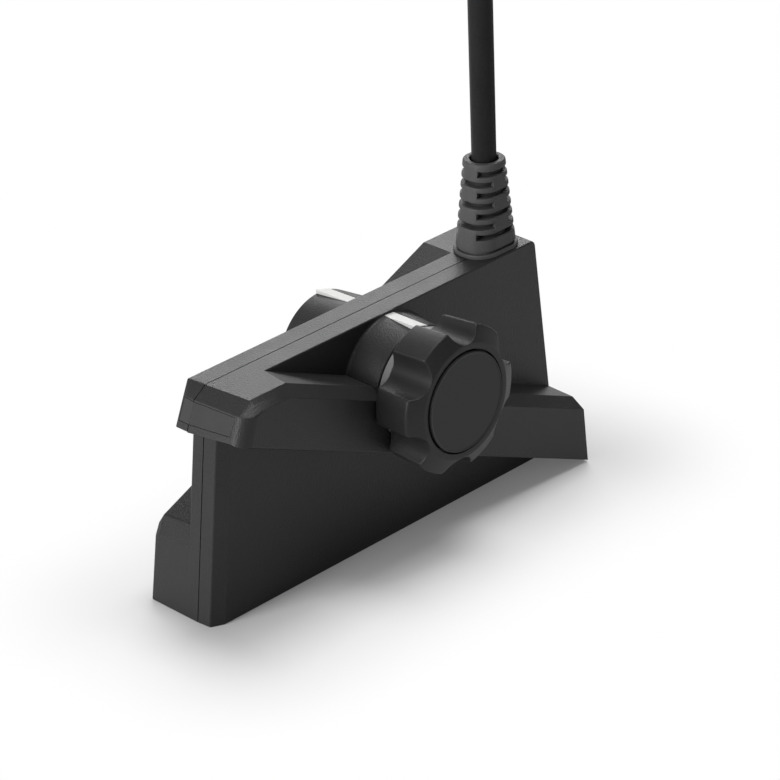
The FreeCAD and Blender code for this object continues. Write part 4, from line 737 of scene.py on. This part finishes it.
def knob_surface():
    """Rings from the back edge over the grip, the cone and the flat ring, into the cap's recess and the
    bolt head's pocket, through the bore and out over the hollow back."""
    back_edge = points_of(20.7 + 0.9 * np.sin(quarter), 22.3 - 0.9 * np.cos(quarter))
    side = points_of(np.linspace(21.6, 22.4, 7), np.linspace(22.3, 34.2, 7))[1:-1]
    edge = rounded(np.array([[21.6, 22.3]]), np.array([[22.4, 34.2]]), np.array([[17.4, 36.5]]),
                   1.0, 6)[0]
    cone = points_of(np.linspace(edge[-1, 0], 17.6, 14), np.linspace(edge[-1, 1], 36.41, 14))[1:]
    outer = np.concatenate((back_edge, side, edge, cone, [(17.4, 36.47)]))
    inner = np.array([(17.0, 36.5), (15.85, 36.5), (15.68, 36.44), (15.6, 36.3), (15.6, 34.8),
                      (7.8, 34.8), (7.8, 28.15), (7.05, 28.15), (7.05, knob_back), (8.5, knob_back),
                      (8.7, hollow_floor), (15.1, hollow_floor), (15.3, knob_back), (17.0, knob_back)])
    x, z = grip_outline(outer[:, 0])
    rib = np.array([0.0, 2.5, 4.9])
    sector = np.radians(np.concatenate((rib, np.linspace(5.4, 54.6, 28), 60.0 - rib[::-1] - 0.1)))
    u, v = inner[:, :1] * np.cos(sector), inner[:, :1] * np.sin(sector)
    inner_x, inner_z = sector_ring(u, v)
    depth = np.repeat(np.concatenate((outer[:, 1], inner[:, 1]))[:, None], x.shape[1], 1)
    column = np.arange(len(sector))
    in_cell = np.tile((column >= len(rib)) & (column < len(sector) - len(rib)), 6)
    cell_rows = len(outer) + np.flatnonzero(inner[:, 1] == hollow_floor)
    depth[cell_rows[:, None], ~in_cell] = knob_back
    points = points_of(hub_x + np.concatenate((x, inner_x)), -depth,
                       hub_z + np.concatenate((z, inner_z)))
    return surface("knob_grip", points, along=True)


knob_black = grained("knob_black", (0.011, 0.011, 0.0115), (0.0157, 0.0157, 0.0165), (0.42, 0.52),
                     2600.0, 0.03, specular=0.22)
knob_grip = dressed(knob_surface(), knob_black, "knob", 40.0)
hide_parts("knob")

# Knob cap: a flat moulded disc of black plastic with a small rounded lip. It is pressed into the
# recess in the knob's face and hides the bolt's head.
cap_profile = np.array([(34.85, 0.2), (34.85, 14.9), (35.0, 15.1), (36.65, 15.1), (36.85, 15.04),
                        (36.97, 14.9), (37.0, 14.7), (36.9, 14.45), (36.88, 14.2), (36.88, 0.2)])
cap_black = grained(
    "cap_black", (0.0115, 0.0115, 0.012), (0.015, 0.015, 0.0158), (0.40, 0.46), 3000.0, 0.015, specular=0.2)
cap = dressed(turned("cap_disc", cap_profile, 160), cap_black, "knob")
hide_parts("knob_cap")

# Thrust washer: a loose ring turned from grey nylon, with small bevels on its rim. It lies between
# the near drum and the knob, so that the knob turns freely.
washer_bore, washer_flat, washer_rim = 4.4, 16.8, 17.1
washer_profile = np.array([(18.42, washer_bore), (18.42, washer_flat), (18.6, washer_rim),
                           (20.9, washer_rim), (21.08, washer_flat), (21.08, washer_bore)])
washer_grey = grained("washer_grey", (0.10, 0.10, 0.101), (0.125, 0.125, 0.126), (0.42, 0.5), 2400.0, 0.02)
washer = dressed(turned("washer_ring", washer_profile, 144, caps=False, along=True), washer_grey,
                 "knob_carriage")
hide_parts("thrust_washer")

# Clamp bolt: one turned stainless bolt through the knob and both drums. Its hexagonal head sits in
# the knob's pocket, a groove holds the retaining ring and the far end has a rolled thread.
bolt_radius, thread_radius, thread_pitch, thread_depth = 4.0, 3.8, 1.25, 0.6
head_flats, head_seat, head_top = 13.0, 28.2, 33.5
groove_start, groove_end, groove_radius, groove_edge = 18.3, 19.54, 3.5, 3.9
thread_start, bolt_end = 20.76, 25.5


def bolt_surface():
    """Radius over distance and direction: a hexagon cut by a cone for the head, plain steps for the
    shank, and a V that climbs one pitch a turn for the thread."""
    angle = around(96)
    flats = head_flats / 2 / np.cos((angle % (np.pi / 3)) - np.pi / 6)
    head = [(-head_top, 0.25), (-head_top, 6.2), (-head_top + 0.12, 6.42), (-head_top + 0.72, 7.6),
            (-head_seat - 0.4, 7.6), (-head_seat - 0.05, 6.9), (-head_seat, 6.8),
            (-head_seat, bolt_radius + 0.3), (-head_seat + 0.3, bolt_radius)]
    shank = [(groove_start - 0.1, bolt_radius), (groove_start, groove_edge),
             (groove_start, groove_radius), (groove_end, groove_radius), (groove_end, groove_edge),
             (groove_end + 0.1, bolt_radius), (20.66, bolt_radius), (20.72, thread_radius)]
    plain = np.array(head + shank)
    run = np.arange(thread_start, bolt_end - 0.7, thread_pitch / 20)
    tip = np.array([(bolt_end - 0.7, 0.0), (bolt_end - 0.35, 0.35), (bolt_end - 0.05, 0.68),
                    (bolt_end, 0.75)])
    along = np.concatenate((run, tip[:, 0]))
    phase = (along[:, None] / thread_pitch + angle / (2 * np.pi)) % 1.0
    fades = np.clip((along - thread_start) / 0.5, 0, 1)[:, None]
    cut = thread_depth * fades * np.clip(1.15 - 2.5 * np.abs(phase - 0.5), 0, 1)
    bevel = np.concatenate((np.zeros(len(run)), tip[:, 1]))[:, None]
    thread = thread_radius - np.maximum(cut, bevel)
    steps = np.repeat(plain[:, 1:], len(angle), 1)
    hexagon = slice(0, len(head) - 2)
    steps[hexagon] = np.minimum(steps[hexagon], flats)
    radius = np.concatenate((steps, thread))
    y = np.concatenate((plain[:, 0], along))[:, None]
    return surface("bolt_turned", points_of(hub_x + radius * np.cos(angle), y,
                                            hub_z + radius * np.sin(angle)))


turned_steel = grained(
    "turned_steel", (0.50, 0.50, 0.49), (0.64, 0.64, 0.63), (0.26, 0.38), 1800.0, 0.004, 40.0, 1.0)
bolt = dressed(bolt_surface(), turned_steel, "knob", 25.0)
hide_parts("clamp_bolt")

# Plug boot: black rubber moulded over the cable's end and the plug's back. It tapers towards the
# cable, and five round grooves let it flex.
plug_boot_length, groove_pitch, groove_depth, groove_count = 20.0, 2.9, 0.85, 5
groove_first, groove_half_width, groove_slope = 1.6, 0.62, 0.3


def about_plug(name, run, radius, **how):
    """A surface turned about the plug's axis: run is the distance from its back, and radius has a row
    for each run and a column for each direction."""
    angle = around(radius.shape[1])
    points = points_of(plug_back - run[:, None], plug_y + radius * np.cos(angle),
                       plug_z + radius * np.sin(angle))
    return surface(name, points, **how)


def smooth(share):
    """A soft step from 0 to 1."""
    share = np.clip(share, 0, 1)
    return share * share * (3 - 2 * share)


run = np.arange(0.5, 19.65, 0.12)
taper = np.interp(run, [0.0, 17.0, plug_boot_length], [4.9, 6.8, 6.8])
place = (run - groove_first) / groove_pitch
groove = smooth((groove_half_width - np.abs(place % 1.0 - 0.5) * groove_pitch) / groove_slope)
groove = groove * (place > 0) * (place < groove_count)
run = np.concatenate(([0.0, 0.0, 0.1, 0.3], run, [19.75, 19.93, plug_boot_length, plug_boot_length]))
reach = np.concatenate(([0.25, 4.45, 4.7, 4.86], taper - groove_depth * groove, [6.77, 6.65, 6.45, 0.25]))
rubber_black = grained(
    "rubber_black", (0.02, 0.02, 0.021), (0.032, 0.032, 0.033), (0.5, 0.62), 1500.0, 0.03, specular=0.6)
plug_boot = dressed(about_plug("plug_boot_moulding", run, np.repeat(reach[:, None], 64, 1)),
                    rubber_black, "housing")
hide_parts("plug_boot")

# Plug body: a black nylon moulding on the end of the boot, with eighteen flutes to hold it by. Its
# round nose carries the collar and is open at the end, round the contacts.
body_radius, nose_radius, nose_bore = 7.6, 6.4, 5.6
flute_count, flute_depth, flute_start, flute_end, flute_fade = 18, 0.55, 22.4, 43.6, 1.4
angle = around(216)
profile = np.array([(20.0, 0.25), (20.0, 6.9), (20.1, 7.2), (20.4, 7.55), (21.0, body_radius)]
                   + [(x, body_radius) for x in np.arange(21.6, 44.6, 0.4)]
                   + [(45.6, 7.5), (45.9, 7.35), (46.0, 7.1), (46.0, nose_radius), (58.6, nose_radius),
                      (58.9, 6.3), (59.0, 6.1), (59.0, 5.75), (58.85, nose_bore), (49.0, nose_bore),
                      (49.0, 0.25)])
along_body = profile[:, 0]
fluted = smooth((along_body - flute_start) / flute_fade) * smooth((flute_end - along_body) / flute_fade)
flute = fluted[:, None] * (0.5 + 0.5 * np.cos(flute_count * angle)) ** 1.6
plug_black = grained(
    "plug_black", (0.021, 0.021, 0.022), (0.03, 0.03, 0.0316), (0.38, 0.5), 2300.0, 0.03, specular=0.5)
plug_body = dressed(about_plug("plug_body_moulding", along_body, profile[:, 1:] - flute_depth * flute),
                    plug_black, "housing")
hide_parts("plug_body")

# Plug collar: a ring turned from aluminium, with a diamond knurl rolled into it and dark anodised.
# It sits on the body's nose and turns there to lock the plug.
knurl_count, knurl_depth, knurl_start, knurl_end = 60, 0.32, 48.0, 55.6
collar_radius, collar_bore = 9.0, 6.7
angle = around(360)
run = np.arange(knurl_start, knurl_end, 0.118)
back_end = np.array([(46.3, collar_bore), (46.3, 8.4), (46.42, 8.7), (46.8, 8.95),
                     (47.2, collar_radius), (47.7, collar_radius)])
front_end = np.array([(55.9, collar_radius), (56.8, collar_radius), (57.18, 8.8), (57.3, 8.4),
                      (57.3, collar_bore)])
turn = knurl_count * angle / (2 * np.pi)
climb = (run[:, None] - knurl_start) / 0.95
valley = np.minimum(np.abs((turn + climb) % 1.0 - 0.5), np.abs((turn - climb) % 1.0 - 0.5))
knurled = smooth((run - knurl_start) / 0.4) * smooth((knurl_end - run) / 0.4)
knurl = collar_radius - knurl_depth * smooth(1.0 - valley / 0.3) * knurled[:, None]
radius = np.concatenate((np.repeat(back_end[:, 1:], len(angle), 1), knurl,
                         np.repeat(front_end[:, 1:], len(angle), 1)))
along_collar = np.concatenate((back_end[:, 0], run, front_end[:, 0]))
collar_dark = grained(
    "collar_dark", (0.07, 0.07, 0.074), (0.11, 0.11, 0.116), (0.28, 0.38), 1800.0, 0.01, 40.0, 1.0)
plug_collar = dressed(about_plug("plug_collar_ring", along_collar, radius, along=True), collar_dark,
                      "plug_lock", 50.0)
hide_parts("plug_collar")

# Plug pins: seven contacts turned from brass and gold plated, with domed tips. They are moulded into
# the insulator in a circle and stand inside the body's nose.
pin_count, pin_circle, pin_radius, pin_start, pin_end = 7, 3.9, 0.5, 54.0, 58.0
profile = np.array([(pin_start, 0.02), (pin_start, pin_radius), (57.55, pin_radius), (57.72, 0.47),
                    (57.86, 0.38), (57.96, 0.22), (pin_end, 0.05)])
angle, circle = around(24), around(pin_count)
points = points_of(
    plug_back - profile[:, :1],
    plug_y + pin_circle * np.cos(circle)[:, None, None] + profile[:, 1:] * np.cos(angle),
    plug_z + pin_circle * np.sin(circle)[:, None, None] + profile[:, 1:] * np.sin(angle))
contact_gold = grained(
    "contact_gold", (0.75, 0.52, 0.18), (0.85, 0.6, 0.24), (0.15, 0.25), 1800.0, 0.004, 40.0, 1.0)
plug_pins = dressed(surface("plug_contacts", points), contact_gold, "housing")
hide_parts("plug_pins")

# Steel and brass inside: the retaining ring, the hub's sleeve and the clamp screws are bare stainless
# steel, and the bushing that the bolt turns in is turned brass.


def finish(material, *names):
    """Puts a material on CAD nodes, whose shapes stay."""
    for name in names:
        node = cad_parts[name]
        if not node.material_slots:
            node.data.materials.append(None)
        for slot in node.material_slots:
            slot.material = material


finish(turned_steel, "retaining_ring", "hub_sleeve", "clamp_screws")
finish(grained("turned_brass", (0.55, 0.38, 0.16), (0.68, 0.48, 0.22), (0.25, 0.38), 1800.0, 0.008,
               40.0, 1.0), "knob_bushing")

# Seals and the cable's end: moulded black rubber, squeezed between the halves, round the sleeve and
# round the cable, which enters the housing inside the boot.
finish(grained("seal_rubber", (0.010, 0.010, 0.010), (0.018, 0.018, 0.018), (0.55, 0.7), 1500.0, 0.03),
       "seam_gasket", "sleeve_seal_near", "sleeve_seal_far", "cable_gland")
finish(cable_jacket, "cable_end_inside")

# Board and wiring: a green glass-epoxy board carries moulded black chips and white nylon connectors.
# Amber polyimide flexes join it to the arrays, and red core wires to the cable in its nylon clamp.
finish(grained("board_green", (0.012, 0.075, 0.03), (0.02, 0.12, 0.05), (0.25, 0.35), 700.0, 0.03, 250.0),
       "circuit_board")
finish(grained("chip_black", (0.012, 0.012, 0.013), (0.022, 0.022, 0.023), (0.4, 0.55), 3000.0, 0.01),
       "processor_chip", "driver_chips")
finish(grained("connector_white", (0.55, 0.54, 0.5), (0.66, 0.65, 0.6), (0.4, 0.5), 2000.0, 0.02),
       "cable_header", "array_connectors")
finish(grained("flex_amber", (0.36, 0.13, 0.02), (0.5, 0.2, 0.035), (0.22, 0.32), 1500.0, 0.01),
       "near_flex", "far_flex", "keel_flex")
finish(grained("wire_insulation", (0.25, 0.02, 0.015), (0.33, 0.03, 0.02), (0.35, 0.45), 1800.0, 0.01),
       "core_wires")
finish(grained("clamp_nylon", (0.03, 0.03, 0.031), (0.05, 0.05, 0.051), (0.4, 0.5), 1800.0, 0.02),
       "cable_clamp")

# Arrays: in each wing and in the foot lies one row of silvered piezo ceramic elements. An epoxy
# matching layer is cast in front of it and a heavy epoxy backing behind.
for array in ("near_array", "far_array", "keel_array"):
    finish(grained(array + "_matching_epoxy", (0.10, 0.10, 0.09), (0.16, 0.16, 0.14), (0.35, 0.5),
                   2200.0, 0.02), array + "_matching_layer")
    finish(grained(array + "_silvered_ceramic", (0.5, 0.48, 0.42), (0.62, 0.6, 0.54), (0.35, 0.5),
                   1500.0, 0.02), array + "_elements")
    finish(grained(array + "_backing_epoxy", (0.02, 0.022, 0.026), (0.035, 0.037, 0.042), (0.5, 0.65),
                   1200.0, 0.04), array + "_backing")

# Plug insulator: a disc of the same black nylon as the plug's body, moulded round the seven contacts
# and pressed into the nose.
finish(plug_black, "plug_insulator")
